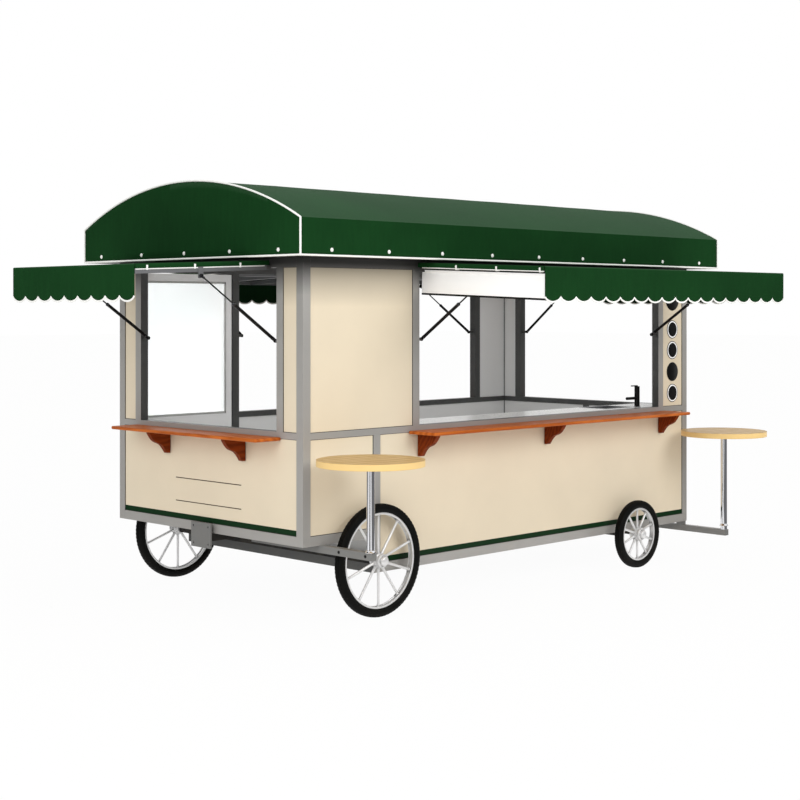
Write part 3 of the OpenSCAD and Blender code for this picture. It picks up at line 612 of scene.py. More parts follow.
def buildCanopy(c):
    low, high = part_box("canopy_cover")
    halfX, halfY = high[0], high[1]
    spring = low[2] + c["wall"]
    rise = high[2] - spring
    radius = (halfY ** 2 + rise ** 2) / (2 * rise)
    centre = high[2] - radius
    reach = math.asin(halfY / radius)
    wallRows = c["wallRows"]
    turns = [-reach + 2 * reach * k / c["arcs"] for k in range(c["arcs"] + 1)]
    arch = [(radius * math.sin(turn), centre + radius * math.cos(turn)) for turn in turns]
    walls = [low[2] + c["wall"] * k / wallRows for k in range(wallRows)]
    outline = [(-halfY, z) for z in walls] + arch + [(halfY, z) for z in reversed(walls)]
    bm = bmesh.new()
    grid = []
    for i in range(c["columns"] + 1):
        x = -halfX + 2 * halfX * i / c["columns"]
        pull = abs(math.sin(math.pi * c["hoops"] * i / c["columns"]))
        row = []
        for y, z in outline:
            crown = max(0.0, (z - spring) / rise)
            sink = c["sag"] * pull * min(1.0, crown * 2.2)
            sink += c["wrinkle"] * noise.noise(Vector((x * 2.1, y * 3.0, z * 2.0))) * min(1.0, crown * 4)
            give = 0
            if low[2] + 0.02 < z < spring - 0.02:
                give = c["slack"] * noise.noise(Vector((x * 2.6, 3.0, z * 5.0)))
            row.append(bm.verts.new((x, y + math.copysign(give, -y), z - sink)))
        grid.append(row)
    joinRows(bm, grid)
    for end in (-1, 1):
        panel = []
        for y, z in arch:
            column = []
            for k in range(wallRows + 1):
                share = k / wallRows
                free = min(1.0, 4 * share * (1 - share)) * min(1.0, 5 * (1 - abs(y) / halfY))
                inward = c["dish"] * free * (0.6 + noise.noise(Vector((y * 2.2, share * 2.5, end * 4.0))))
                column.append(bm.verts.new((end * (halfX - inward), y, low[2] + (z - low[2]) * share)))
            panel.append(column)
        for a, b in zip(panel, panel[1:]):
            for k in range(wallRows):
                corners = (a[k], b[k], b[k + 1], a[k + 1])
                bm.faces.new(corners if end > 0 else tuple(reversed(corners)))
    bmesh.ops.remove_doubles(bm, verts=bm.verts, dist=0.0002)
    bmesh.ops.recalc_face_normals(bm, faces=bm.faces)
    cover = addPiece("canopy_sheet", bm, ["canopyCloth", "clothUnderShade"], "cart", smooth=35)
    thicken(cover, c["thick"])
    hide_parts("canopy_cover")

    bm = bmesh.new()
    cord = roundSection(c["piping"])
    for x in (-halfX, halfX):
        addSweep(bm, [(x, y, z) for y, z in outline], cord, (1, 0, 0))
    hem = [(-halfX, -halfY), (halfX, -halfY), (halfX, halfY), (-halfX, halfY)]
    for k in range(4):
        a = Vector((*hem[k], low[2] + 0.003))
        b = Vector((*hem[(k + 1) % 4], low[2] + 0.003))
        addSweep(bm, [a.lerp(b, j / c["hemSteps"]) for j in range(c["hemSteps"] + 1)], cord, up)
    piping = addPiece("canopy_piping", bm, ["whiteTape"], "cart", smooth=60)

    bm = bmesh.new()
    dome = [(0.0, 1.0), (0.12, 1.0), (0.2, 0.94), (0.42, 0.78), (0.58, 0.45), (0.62, 0.0)]
    shape = [(a * c["stud"] * 0.9, r * c["stud"]) for a, r in dome]
    z = low[2] + c["studUp"]
    for side, away in outward.items():
        along = away.cross(up)
        if side in ("front", "back"):
            half, far, count, inset = halfX, halfY, c["longStuds"], c["longInset"]
        else:
            half, far, count, inset = halfY, halfX, c["endStuds"], c["endInset"]
        for k in range(count):
            place = -half + inset + (2 * half - 2 * inset) * k / (count - 1)
            addLathe(bm, shape, away * (far - 0.001) + along * place + up * z, away, steps=20)
    studs = addPiece("canopy_studs", bm, ["whiteTape"], "cart")


buildCanopy(canopy)


# awnings: cloth over the bars, scalloped valance, bound edge and clips

awning = {"slope": 2.3, "sag": 0.006, "wrinkle": 0.0012, "thick": 0.003, "nose": 0.009, "scallop": 0.15,
          "scallopDeep": 0.03, "perScallop": 10, "tape": 0.011, "tapeThick": 0.0055, "flapDown": 0.029,
          "flapThick": 0.003, "ripple": 0.0022, "keder": 0.006, "topRows": 16, "bendRows": 4, "dropRows": 8,
          "clips": ((0.32, 0.64, 0.97), (0.23, 0.575, 0.92)), "clipDown": 0.012, "clipTall": 0.036,
          "clipRound": 0.0012, "clipScrew": 0.0042}


def buildAwning(side, c):
    body = side + "_awning"
    node = side + "_awning_cloth"
    low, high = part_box(node)
    barLow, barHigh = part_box(side + "_awning_frame")
    away = outward[side]
    along = away.cross(up)
    across, depth = axesOf(side)
    middle = (low[across] + high[across]) / 2
    half = (high[across] - low[across]) / 2
    near = min(abs(low[depth]), abs(high[depth]))
    far = max(abs(low[depth]), abs(high[depth]))
    sign = along[across]
    top, bottom = high[2], low[2]
    slope = math.tan(math.radians(c["slope"]))
    scallops = round(2 * half / c["scallop"])
    columns = scallops * c["perScallop"]

    def spot(u, out, z):
        place = away * out + up * z
        place[across] = middle + sign * u
        return place

    def lobe(u):
        share = (u + half) / (2 * half) * scallops
        return bottom + c["scallopDeep"] * (1 - abs(math.sin(math.pi * share)) ** 0.62)

    def skin(u, t):
        out = near + (far - near - c["nose"]) * t
        dip = c["sag"] * math.sin(math.pi * t) * (1 - (u / half) ** 8)
        dip += c["wrinkle"] * noise.noise(Vector((u * 3.0, t * 3.0, len(side)))) * math.sin(math.pi * t)
        return out, top - (out - near) * slope - dip

    bm = bmesh.new()
    grid = []
    topRows, bendRows, dropRows = c["topRows"], c["bendRows"], c["dropRows"]
    for i in range(columns + 1):
        u = -half + 2 * half * i / columns
        row = [spot(u, *skin(u, k / topRows)) for k in range(topRows + 1)]
        out, z = skin(u, 1.0)
        for k in range(1, bendRows + 1):
            turn = math.pi / 2 * k / bendRows
            row.append(spot(u, out + c["nose"] * math.sin(turn), z - c["nose"] * (1 - math.cos(turn))))
        start = z - c["nose"]
        for k in range(1, dropRows + 1):
            f = k / dropRows
            wave = c["ripple"] * f * math.sin(u * 19.0 + 2.0 * noise.noise(Vector((u * 1.5, 0.0, 1.0))))
            row.append(spot(u, out + c["nose"] - abs(wave), start + (lobe(u) - start) * f))
        grid.append([bm.verts.new(p) for p in row])
    joinRows(bm, grid)
    edge = [row[-1].co.copy() for row in grid]
    ends = [(end, [v.co.copy() for v in row[:topRows + 1]]) for end, row in ((-1, grid[0]), (1, grid[-1]))]
    cloth = addPiece(side + "_awning_sheet", bm, ["canopyCloth", "clothUnderShade"], body,
                     smooth=50)
    if cloth.data.polygons[0].normal.z < 0:
        cloth.data.flip_normals()
    thicken(cloth, c["thick"])
    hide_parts(node)

    bm = bmesh.new()
    path = [p - away * (c["thick"] / 2) + up * (c["tape"] * 0.32) for p in edge]
    addSweep(bm, path, flatSection(c["tapeThick"], c["tape"]), away)
    for end, line in ends:
        outer = onAxis(across, sign * end)
        under = [p + outer * 0.0005 - up * (c["flapDown"] + 0.004) for p in line]
        under[0] = under[0].lerp(under[1], 0.6)    # clear of the hinge bracket when folded
        addSweep(bm, under, flatSection(c["keder"] * 0.7, c["keder"]), outer)
    binding = addPiece(side + "_awning_binding", bm, ["whiteTape"], body, smooth=50)

    bm = bmesh.new()
    for end, line in ends:
        inset = onAxis(across, -sign * end * c["flapThick"] / 2)
        addSweep(bm, [p + inset - up * (c["flapDown"] / 2 + 0.001) for p in line],
                 flatSection(c["flapThick"], c["flapDown"]), inset)
    flaps = addPiece(side + "_awning_side_hems", bm, ["canopyCloth"], body, smooth=50)

    bm = bmesh.new()
    barHalf = (barHigh[across] - barLow[across]) / 2
    for end in (-1, 1):
        for t in c["clips"][across]:
            u = end * half
            out = skin(0.0, t)[0]
            z = top - (out - near) * slope - c["clipDown"]
            foot = z - c["clipTall"]
            bar = u - end * (half - barHalf + 0.004)
            tip = u + end * 0.002
            leg = u + end * 0.0028
            hook = cornersOf(spot(bar, out - 0.007, foot + 0.008), spot(tip, out + 0.007, foot + 0.0125))
            addBlock(bm, *hook, c["clipRound"])
            strap = cornersOf(spot(leg - 0.0018, out - 0.006, foot + 0.009),
                              spot(leg + 0.0018, out + 0.006, z + 0.002))
            addBlock(bm, *strap, c["clipRound"])
            addScrew(bm, spot(u + end * 0.0046, out, z - 0.006), onAxis(across, sign * end), c["clipScrew"])
    clips = addPiece(side + "_awning_clips", bm, ["whiteTape"], body)


for side in outward:
    buildAwning(side, awning)
print("awnings made")


# wheels: grooved tyre, channel rim, tube spokes, stepped hub

wheel = {"spokes": 10, "spoke": 0.0088, "tyreUp": 0.055, "steps": 240, "blocks": 80, "sipe": 0.0022,
         "bolts": 5, "boltRing": 0.0362, "bolt": 0.0032}


def mirrorProfile(points):
    return points + [(-a, r) for a, r in reversed(points) if abs(a) > 1e-9]


def buildWheel(size, side, c):
    body = size + "_" + side + "_wheel"
    tyreNode = size + "_tyre_" + side
    rimNode = size + "_wheel_" + side
    low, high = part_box(tyreNode)
    centre = (Vector(low) + Vector(high)) / 2
    outer = (high[2] - low[2]) / 2
    seat = outer - c["tyreUp"]
    away = outward[side]
    half = (high[1] - low[1]) / 2

    bm = bmesh.new()
    tread = mirrorProfile([
        (-half * 0.5, seat - 0.001), (-half * 0.68, seat + 0.002), (-half * 0.88, seat + 0.011),
        (-half * 0.99, seat + 0.025), (-half * 0.97, seat + 0.036), (-half * 0.92, seat + 0.0385),
        (-half * 0.9, seat + 0.042), (-half * 0.8, outer - 0.006), (-half * 0.6, outer - 0.0022),
        (-half * 0.42, outer - 0.0012), (-half * 0.4, outer - 0.0052), (-half * 0.33, outer - 0.0052),
        (-half * 0.31, outer - 0.0008), (-half * 0.06, outer), (-half * 0.045, outer - 0.0045),
        (0.0, outer - 0.0045)])
    shoulders = {k for k, (a, r) in enumerate(tread)
                 if half * 0.5 < abs(a) < half * 0.91 and r > outer - 0.016}
    gap = c["steps"] // c["blocks"]

    def sipes(row, k):
        return -c["sipe"] if row in shoulders and k % gap == 0 else 0.0

    addLathe(bm, tread, centre, away, steps=c["steps"], loop=True, shape=sipes)
    tyre = addPiece(tyreNode + "_tread", bm, ["tyre"], body, smooth=45)
    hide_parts(tyreNode)

    bm = bmesh.new()
    channel = mirrorProfile([
        (-0.0172, seat + 0.0035), (-0.0196, seat - 0.001), (-0.02, seat - 0.0075),
        (-0.0192, seat - 0.0115), (-0.017, seat - 0.0128), (-0.015, seat - 0.0115),
        (-0.014, seat - 0.0085), (-0.012, seat - 0.0055), (0.0, seat - 0.0045)])
    channel += [(0.014, seat + 0.001), (-0.014, seat + 0.001)]
    addLathe(bm, channel, centre, away, steps=160, loop=True)
    level = up.cross(away).normalized()
    r = c["spoke"]
    tip = seat - 0.0055
    for k in range(c["spokes"]):
        turn = math.pi / 2 + math.tau * k / c["spokes"]
        line = level * math.cos(turn) + up * math.sin(turn)
        addLathe(bm, [(0.034, r * 1.5), (0.05, r * 1.35), (0.058, r * 1.02), (tip - 0.05, r * 0.9),
                      (tip - 0.016, r * 0.92), (tip - 0.014, r * 1.25), (tip - 0.003, r * 1.35),
                      (tip, r * 1.6)], centre, line, steps=14)
    addLathe(bm, [(-0.046, 0.0), (-0.046, 0.031), (-0.043, 0.036), (-0.024, 0.037), (-0.021, 0.045),
                  (-0.016, 0.0462), (0.013, 0.0462), (0.018, 0.045), (0.021, 0.038), (0.034, 0.037),
                  (0.037, 0.0425), (0.044, 0.0425), (0.0475, 0.0395), (0.0482, 0.031), (0.0575, 0.0302),
                  (0.0635, 0.0275), (0.0672, 0.0215), (0.0688, 0.012), (0.0692, 0.0)],
             centre, away, steps=56)
    for k in range(c["bolts"]):
        turn = math.tau * (k + 0.5) / c["bolts"]
        spot = centre + away * 0.0475 + (level * math.cos(turn) + up * math.sin(turn)) * c["boltRing"]
        addBolt(bm, spot, away, c["bolt"])
    made = addPiece(rimNode + "_spoked", bm, ["wheelSilver"], body, smooth=38)
    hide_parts(rimNode)


for size in ("big", "small"):
    for side in ("front", "back"):
        buildWheel(size, side, wheel)
print("wheels made")


# shelves: boards with eased edges, grain along each board

shelf = {"round": 0.009, "segments": 4}


def buildShelves(c):
    long = bmesh.new()
    short = bmesh.new()
    for low, high in islands("shelf_boards"):
        wide = high[0] - low[0] > high[1] - low[1]
        addBlock(long if wide else short, low, high, c["round"], segments=c["segments"])
    one = addPiece("long_shelf_boards", long, ["shelfWood"], "cart", smooth=60)
    two = addPiece("end_shelf_boards", short, ["shelfWoodAcross"], "cart", smooth=60)
    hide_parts("shelf_boards")
    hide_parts("shelf_boards")


buildShelves(shelf)


# wall dressing: gaskets, which also stand in for the shadow gaps round the panels, stripes, the end's two
# rules, badges

# a badge is (height, radius, whether it has a white ring)
dressing = {"gasket": 0.0032, "proud": 0.0007, "thick": 0.003, "round": 0.0006, "stripe": (0.003, 0.036),
            "stripeProud": 0.0012, "stripeBelow": 0.6, "rules": (0.806, 0.655), "ruleWide": 0.006,
            "ruleSpan": (-0.36, 0.318), "ruleProud": 0.0008, "ruleThick": 0.002, "ruleRound": 0.0004,
            "badges": [(1.99, 0.087, False), (1.757, 0.07, True), (1.597, 0.07, True),
                       (1.43, 0.073, False), (1.265, 0.07, True)]}


def wallBox(side, out, thick, a0, a1, z0, z1):
    # a thin box on the outer face of a wall, between a0 and a1 along it
    across, depth = axesOf(side)
    a = Vector((0, 0, z0))
    b = Vector((0, 0, z1))
    a[across], b[across] = a0, a1
    a[depth] = outward[side][depth] * (out - thick)
    b[depth] = outward[side][depth] * out
    return cornersOf(a, b)


def buildDressing(c):
    seals = bmesh.new()
    stripes = bmesh.new()
    g = c["gasket"]
    for side in outward:
        across, depth = axesOf(side)
        node = side + "_panels" if across == 0 else side + "_end_panels"
        for low, high in islands(node):
            if high[2] - low[2] < 0.2 or high[across] - low[across] < 0.05:
                continue
            face = max(abs(low[depth]), abs(high[depth]))
            a0, a1, z0, z1 = low[across], high[across], low[2], high[2]
            # painted shade: dark rubber gaskets round each panel, which also stand in for the shadow gap
            # between panel and frame
            for rim in ((a0, a1, z0, z0 + g), (a0, a1, z1 - g, z1), (a0, a0 + g, z0, z1),
                        (a1 - g, a1, z0, z1)):
                box = wallBox(side, face + c["proud"], c["thick"], *rim)
                addBlock(seals, *box, c["round"], segments=1)
            aboveWheel = side == "front" and a1 < -1.3
            if z0 < c["stripeBelow"] and not aboveWheel:
                foot, head = c["stripe"]
                box = wallBox(side, face + c["stripeProud"], c["thick"], a0 + g, a1 - g, z0 + foot, z0 + head)
                addBlock(stripes, *box, c["round"], segments=1)
    addPiece("panel_gaskets_and_shadow_gaps", seals, ["seal"], "cart")
    addPiece("green_stripes", stripes, ["stripeGreen"], "cart")

    bm = bmesh.new()
    narrow = [pair for pair in islands("front_panels") if pair[0][0] > 1.5 and pair[0][2] > 1.0][0]
    x = (narrow[0][0] + narrow[1][0]) / 2
    face = min(narrow[0][1], narrow[1][1])
    for z, r, ringed in c["badges"]:
        layers = [([(0, r), (0.0028, r), (0.004, r - 0.002), (0.004, 0)], 0)]
        if ringed:
            layers = [([(0, r), (0.0022, r), (0.003, r - 0.0015), (0.003, r - 0.0045),
                        (0.0012, r - 0.005), (0.0012, 0)], 0),
                      ([(0.0012, r - 0.005), (0.0032, r - 0.0055), (0.0036, r * 0.79 + 0.001),
                        (0.0036, 0)], 1),
                      ([(0.0036, r * 0.79), (0.0046, r * 0.77), (0.005, r * 0.72), (0.005, 0)], 0)]
        for profile, index in layers:
            addLathe(bm, profile, (x, face + 0.0005, z), outward["front"], steps=64, index=index)
    addPiece("round_badges", bm, ["boardBlack", "boardWhite"], "cart")

    bm = bmesh.new()
    wide = [pair for pair in islands("left_end_panels") if pair[1][1] - pair[0][1] > 1.0][0]
    for z in c["rules"]:
        box = wallBox("left", abs(wide[0][0]) + c["ruleProud"], c["ruleThick"], *c["ruleSpan"],
                      z, z + c["ruleWide"])
        addBlock(bm, *box, c["ruleRound"], segments=1)
    addPiece("name_rules", bm, ["inkBrown"], "cart")


buildDressing(dressing)
print("walls dressed")


# menu board: white face, black channel over the awning's bar, black lower edge

board = {"tilt": 2.3, "axis": (-0.97, 2.171), "face": 0.005, "bar": 0.9924, "cover": 0.0042,
         "white": 0.013, "strip": 0.0295, "lower": 0.011, "short": 0.014, "extra": 0.012, "round": 0.001,
         "edgeRound": 0.0015}


def buildBoard(c):
    low, high = (Vector(p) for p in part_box("menu_board"))
    tilt = math.radians(c["tilt"])
    out = Vector((0, -math.cos(tilt), -math.sin(tilt)))
    rise = Vector((0, -math.sin(tilt), math.cos(tilt)))
    origin = Vector((0, *c["axis"]))
    corners = [v.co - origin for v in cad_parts["menu_board"].data.vertices]
    reach = [v.dot(out) for v in corners]
    level = [v.dot(rise) for v in corners]
    inner, far = min(reach) - c["extra"], max(reach)
    bottom, top = min(level), max(level)
    near = min(reach) + c["short"]
    outer = low[0] - c["face"]
    bar = -c["bar"]
    cover = bar - c["cover"]
    white = top + c["white"]
    soft = c["round"]
    bm = bmesh.new()
    addBlock(bm, (outer, inner, bottom + 0.001), (low[0] - 0.0004, far, top - 0.001), soft)
    addBlock(bm, (cover, near, top - 0.0012), (bar, far, white), soft)
    addBlock(bm, (cover - 0.0006, near, white), (bar, far, top + c["strip"]), soft, index=1)
    addBlock(bm, (outer - 0.0004, inner, bottom - 0.002),
             (high[0] + 0.0012, far + 0.001, bottom + c["lower"]), c["edgeRound"], index=1)
    addBlock(bm, (outer - 0.0003, far - 0.003, bottom), (high[0] + 0.001, far + 0.0015, top - 0.001),
             soft, index=1)
    turn = Matrix(((1, 0, 0), (0, out.y, rise.y), (0, out.z, rise.z))).to_4x4()
    bmesh.ops.transform(bm, matrix=Matrix.Translation(origin) @ turn, verts=bm.verts)
    bmesh.ops.recalc_face_normals(bm, faces=bm.faces)
    addPiece("menu_board_face", bm, ["boardWhite", "boardBlack"], "front_awning")


buildBoard(board)


# gas struts: ferrules at each end and a gland where the rod comes out

# base and pin are (out from the middle, height) at the long sides; the ends lie endShift further out
strut = {"base": (0.92, 1.72), "pin": (1.4911, 2.1121), "endShift": 1.05, "gland": 0.405,
         "tube": 0.0105, "rod": 0.005}


def buildStruts(side, c):
    across = axesOf(side)[0]
    away = outward[side]
    shift = c["endShift"] if across == 1 else 0.0
    line = (away * (c["pin"][0] - c["base"][0]) + up * (c["pin"][1] - c["base"][1])).normalized()
    length = (Vector(c["pin"]) - Vector(c["base"])).length
    r = c["tube"]
    glands = bmesh.new()
    ends = bmesh.new()
    for low, high in islands(side + "_strut_cylinders"):
        base = away * (c["base"][0] + shift) + up * c["base"][1]
        base[across] = (low[across] + high[across]) / 2
        addLathe(glands, [(c["gland"] - 0.016, r + 0.0002), (c["gland"] - 0.014, r + 0.0012),
                          (c["gland"] - 0.003, r + 0.0012), (c["gland"] + 0.001, r - 0.001),
                          (c["gland"] + 0.004, c["rod"] + 0.0018), (c["gland"] + 0.005, c["rod"] + 0.0006)],
                 base, line, steps=28)
        addLathe(glands, [(0.0125, 0.006), (0.0135, 0.0085), (0.021, 0.0085), (0.023, r + 0.0008),
                          (0.033, r + 0.0008), (0.034, r + 0.0001)], base, line, steps=28)
        addLathe(ends, [(-0.0252, c["rod"] + 0.0002), (-0.0244, 0.0074), (-0.0168, 0.0074),
                        (-0.0152, 0.0062), (-0.0115, 0.006)], base + line * length, line, steps=6)
    addPiece(side + "_strut_glands", glands, ["rodSteel"], side + "_struts")
    addPiece(side + "_rod_nuts", ends, ["rodSteel"], side + "_rods")


for side in outward:
    buildStruts(side, strut)


# tables: top flange, foot collar and the arms' bolts

table = {"post": 0.025, "flange": 0.085, "flangeThick": 0.005, "screws": 4, "screwRing": 0.068,
         "screw": 0.0045, "bolt": 0.0065, "boltsIn": (0.05, 0.28)}


def buildTables(c):
    bm = bmesh.new()
    tops = islands("table_tops")
    arms = islands("table_arms")
    posts = [pair for pair in islands("table_posts") if pair[1][2] - pair[0][2] > 0.3]
    r = c["post"]
    f = c["flangeThick"]
    for low, high in posts:
        x = (low[0] + high[0]) / 2
        y = (low[1] + high[1]) / 2
        under = min(tops, key=lambda top: abs((top[0][0] + top[1][0]) / 2 - x))[0][2]
        foot = max(arm[1][2] for arm in arms if arm[0][0] - 0.01 < x < arm[1][0] + 0.01)
        addLathe(bm, [(-f - 0.012, r + 0.0003), (-f - 0.008, r + 0.0035), (-f - 0.001, r + 0.0055),
                      (-f, c["flange"] - 0.004), (-f + 0.001, c["flange"]), (0, c["flange"])],
                 (x, y, under), up, steps=56)
        for k in range(c["screws"]):
            turn = math.tau * (k + 0.5) / c["screws"]
            spot = (x + c["screwRing"] * math.cos(turn), y + c["screwRing"] * math.sin(turn), under - f)
            addScrew(bm, spot, -up, c["screw"])
        addLathe(bm, [(0, r + 0.010), (0.0025, r + 0.010), (0.006, r + 0.006), (0.013, r + 0.003),
                      (0.016, r + 0.0003)], (x, y, foot), up, steps=48)
    addPiece("table_flanges", bm, ["chrome"], "cart")
    bm = bmesh.new()
    for low, high in arms:
        if high[1] - low[1] < 0.4:
            continue
        x = low[0] if low[0] + high[0] < 0 else high[0]
        for inward in c["boltsIn"]:
            spot = (x, low[1] + inward, (low[2] + high[2]) / 2)
            addBolt(bm, spot, (math.copysign(1, x), 0, 0), c["bolt"])
    addPiece("arm_bolts", bm, ["darkSteel"], "cart")


buildTables(table)


# door: lever handles, lock plate, kick plate and glazing seal

door = {"outside": 0.945, "inside": 0.895, "handleZ": 1.02, "handleX": -1.135, "lever": 0.115,
        "plateHalf": 0.017, "plateDown": 0.11, "plateUp": 0.045, "lockDown": 0.078, "kick": 0.16,
        "glazing": 0.011, "glazingOut": 0.004, "kickScrew": 0.0038}


def buildDoor(c):
    low, high = (Vector(p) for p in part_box("door"))
    paneLow, paneHigh = (Vector(p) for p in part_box("door_glass"))
    faces = ((c["outside"], 1), (c["inside"], -1))
    x, z = c["handleX"], c["handleZ"]
    bm = bmesh.new()
    for face, way in faces:
        plate = cornersOf((x - c["plateHalf"], face - way * 0.0005, z - c["plateDown"]),
                          (x + c["plateHalf"], face + way * 0.004, z + c["plateUp"]))
        addBlock(bm, *plate, 0.0018, segments=3)
        addLathe(bm, [(0, 0.013), (0.007, 0.013), (0.009, 0.0115), (0.012, 0.009), (0.036, 0.009),
                      (0.04, 0.0075), (0.041, 0)], (x, face, z), (0, way, 0), steps=28)
        middle = face + way * 0.034
        path = [(x - c["lever"] * t, middle + way * 0.004 * math.sin(math.pi * t), z - 0.004 * t * t)
                for t in (k / 12 for k in range(13))]
        addSweep(bm, path, flatSection(0.018, 0.009, 0.45), up)
        addLathe(bm, [(0, 0.0085), (0.0015, 0.0085), (0.002, 0.0075), (0.002, 0)],
                 (x, face + way * 0.0038, z - c["lockDown"]), (0, way, 0), steps=24)
    addPiece("door_handles", bm, ["chrome"], "door")

    bm = bmesh.new()
    g, over = c["glazing"], c["glazingOut"]
    x0, x1, z0, z1 = paneLow[0], paneHigh[0], paneLow[2], paneHigh[2]
    for face, way in faces:
        a, b = sorted((face - way * 0.002, face + way * 0.0018))
        for u0, u1, v0, v1 in ((x0 - over, x1 + over, z0 - over, z0 + g),
                               (x0 - over, x1 + over, z1 - g, z1 + over),
                               (x0 - over, x0 + g, z0, z1), (x1 - g, x1 + over, z0, z1)):
            addBlock(bm, (u0, a, v0), (u1, b, v1), 0.0014)
    addPiece("door_glazing_seal", bm, ["paleSeal"], "door")

    bm = bmesh.new()
    out = c["outside"]
    addBlock(bm, (low[0] + 0.03, out - 0.001, low[2] + 0.012),
             (high[0] - 0.02, out + 0.0014, low[2] + c["kick"]), 0.001)
    for x in (low[0] + 0.045, (low[0] + high[0]) / 2, high[0] - 0.035):
        for z in (low[2] + 0.026, low[2] + c["kick"] - 0.014):
            addScrew(bm, (x, out + 0.0013, z), (0, 1, 0), c["kickScrew"])
    addPiece("door_kick_plate", bm, ["steelSink"], "door")


buildDoor(door)


# sink's drain and the ring round the tap's foot

kitchen = {"drain": 0.03, "ring": 0.029, "tapBack": 0.02}


def buildKitchen(c):
    bm = bmesh.new()
    low, high = (Vector(p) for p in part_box("sink"))
    spot = ((low[0] + high[0]) / 2, (low[1] + high[1]) / 2, low[2] + 0.002)
    addLathe(bm, [(0, c["drain"]), (0.002, c["drain"]), (0.0026, 0.027), (0.001, 0.022), (0.0006, 0.004),
                  (0.0022, 0.003), (0.0024, 0)], spot, up, steps=40)
    low, high = (Vector(p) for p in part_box("tap"))
    addLathe(bm, [(0, c["ring"]), (0.003, c["ring"]), (0.0045, 0.027), (0.006, 0.0225), (0.008, 0.0205)],
             (high[0] - c["tapBack"], (low[1] + high[1]) / 2, low[2]), up, steps=40)
    addPiece("sink_drain_and_tap_ring", bm, ["steelSink"], "cart")


buildKitchen(kitchen)
print("hardware made")


# floor and light

# a card is (start, end, level): degrees round from the camera's side, and how bright it mirrors
# a lamp is (place, aim, size, power)
stage = {"floor": "f4f3f1", "floorHalf": 90, "floorWhite": 0.96, "world": 0.78,
         "cards": ((16, 118, 0.17), (-26, -8, 0.1), (-130, -58, 0.3)), "cardTurn": -135, "cardStep": 12,
         "cardRows": ((2.9, 0.004), (11, 0.004), (11, 5.5)),
         "lamps": {"key": ((0.4, -9.0, 5.4), (0.3, 0, 1.0), 5.0, 262.0),
                   "fill": ((-7.5, -3.0, 4.0), (0, 0, 1.2), 4.0, 122.0),
                   "inside left": ((-0.95, 0, 2.1), (-0.95, 0.01, 0), 1.3, 3.4),
                   "inside right": ((0.95, 0, 2.1), (0.95, 0.01, 0), 1.3, 3.4)}}


def emptyTree(owner):
    owner.use_nodes = True
    owner.node_tree.nodes.clear()
    return owner.node_tree


def addStageMesh(name, bm, materials):
    mesh = bpy.data.meshes.new(name)
    for material in materials:
        mesh.materials.append(material)
    bm.to_mesh(mesh)
    bm.free()
    made = bpy.data.objects.new(name, mesh)
    bpy.context.collection.objects.link(made)
    return made


def seenRays(tree):
    # rays that should meet plain white: the camera's, and those mirrored or let through
    rays = addNode(tree, "ShaderNodeLightPath").outputs
    return calc(tree, "MAXIMUM", rays["Is Camera Ray"],
                calc(tree, "MAXIMUM", rays["Is Glossy Ray"], rays["Is Transmission Ray"]))


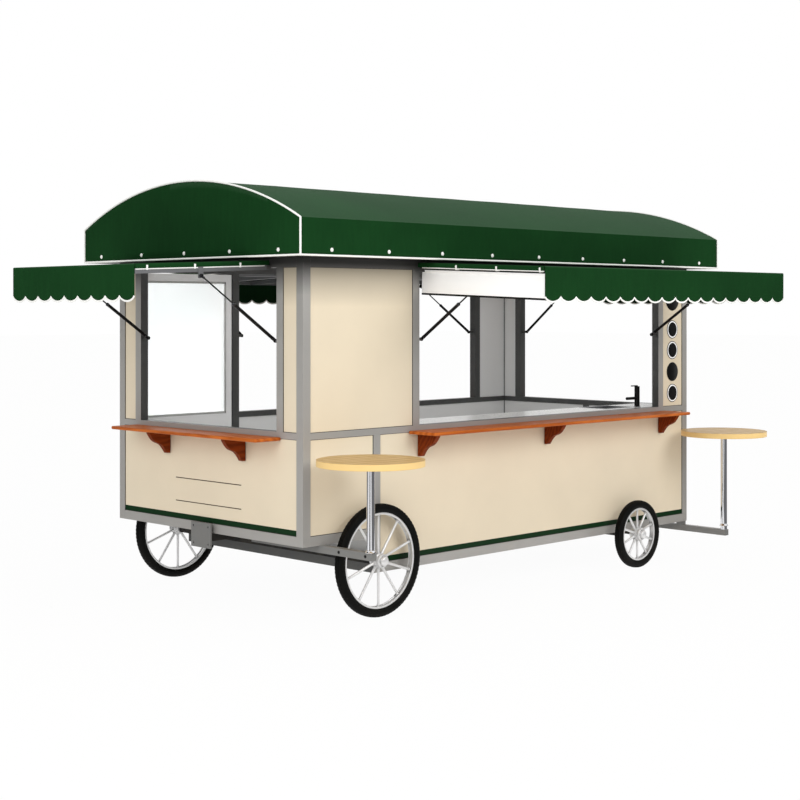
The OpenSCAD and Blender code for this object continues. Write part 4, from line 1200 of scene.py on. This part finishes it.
def addFloor(c):
    # pale and shadowed from above, clear from below
    material = bpy.data.materials.new("pale floor")
    tree = emptyTree(material)
    pale = addNode(tree, "ShaderNodeBsdfDiffuse", {0: paint(c["floor"])}).outputs[0]
    white = addNode(tree, "ShaderNodeEmission", {0: (1, 1, 1, 1), 1: 1.0}).outputs[0]
    share = times(tree, seenRays(tree), c["floorWhite"])
    mixed = addNode(tree, "ShaderNodeMixShader", {0: share, 1: pale, 2: white}).outputs[0]
    under = addNode(tree, "ShaderNodeNewGeometry").outputs["Backfacing"]
    clear = addNode(tree, "ShaderNodeBsdfTransparent").outputs[0]
    whole = addNode(tree, "ShaderNodeMixShader", {0: under, 1: mixed, 2: clear}).outputs[0]
    addNode(tree, "ShaderNodeOutputMaterial", {0: whole})
    bm = bmesh.new()
    h = c["floorHalf"]
    bm.faces.new([bm.verts.new((x, y, 0.0)) for x, y in ((-h, -h), (h, -h), (h, h), (-h, h))])
    floor = addStageMesh("floor", bm, [material])


def addWorld(c):
    world = bpy.data.worlds.new("studio")
    bpy.context.scene.world = world
    tree = emptyTree(world)
    strength = remap(tree, seenRays(tree), 0.0, 1.0, c["world"], 1.0)
    sky = addNode(tree, "ShaderNodeBackground", {0: (1, 1, 1, 1), 1: strength}).outputs[0]
    addNode(tree, "ShaderNodeOutputWorld", {0: sky})


def addCards(c):
    # grey cards that only reflections see, so that polished metal has edges to mirror
    bm = bmesh.new()
    greys = []
    for index, (start, end, level) in enumerate(c["cards"]):
        grey = bpy.data.materials.new("grey card %d" % index)
        tree = emptyTree(grey)
        glow = addNode(tree, "ShaderNodeEmission", {0: (level, level, level * 1.02, 1), 1: 1.0}).outputs[0]
        addNode(tree, "ShaderNodeOutputMaterial", {0: glow})
        greys.append(grey)
        steps = max(1, round((end - start) / c["cardStep"]))
        rim = [math.radians(start + (end - start) * k / steps + c["cardTurn"]) for k in range(steps + 1)]
        rows = [[bm.verts.new((r * math.cos(turn), r * math.sin(turn), z)) for turn in rim]
                for r, z in c["cardRows"]]
        for low, high in zip(rows, rows[1:]):
            for k in range(steps):
                bm.faces.new((low[k], low[k + 1], high[k + 1], high[k])).material_index = index
    cards = addStageMesh("reflection_cards", bm, greys)
    for kind in ("camera", "diffuse", "transmission", "volume_scatter", "shadow"):
        setattr(cards, "visible_" + kind, False)


def addLamps(c):
    for name, (place, aim, size, power) in c["lamps"].items():
        light = bpy.data.lights.new(name, "AREA")
        light.shape = "DISK"
        light.size = size
        light.energy = power
        lamp = bpy.data.objects.new(name, light)
        lamp.location = place
        lamp.rotation_euler = (Vector(aim) - Vector(place)).to_track_quat("-Z", "Y").to_euler()
        bpy.context.collection.objects.link(lamp)
        lamp.visible_camera = False
        lamp.visible_glossy = not name.startswith("inside")


for build in (addFloor, addWorld, addCards, addLamps):
    build(stage)
print("floor and light set")
bpy.context.scene.view_settings.view_transform = "Standard"
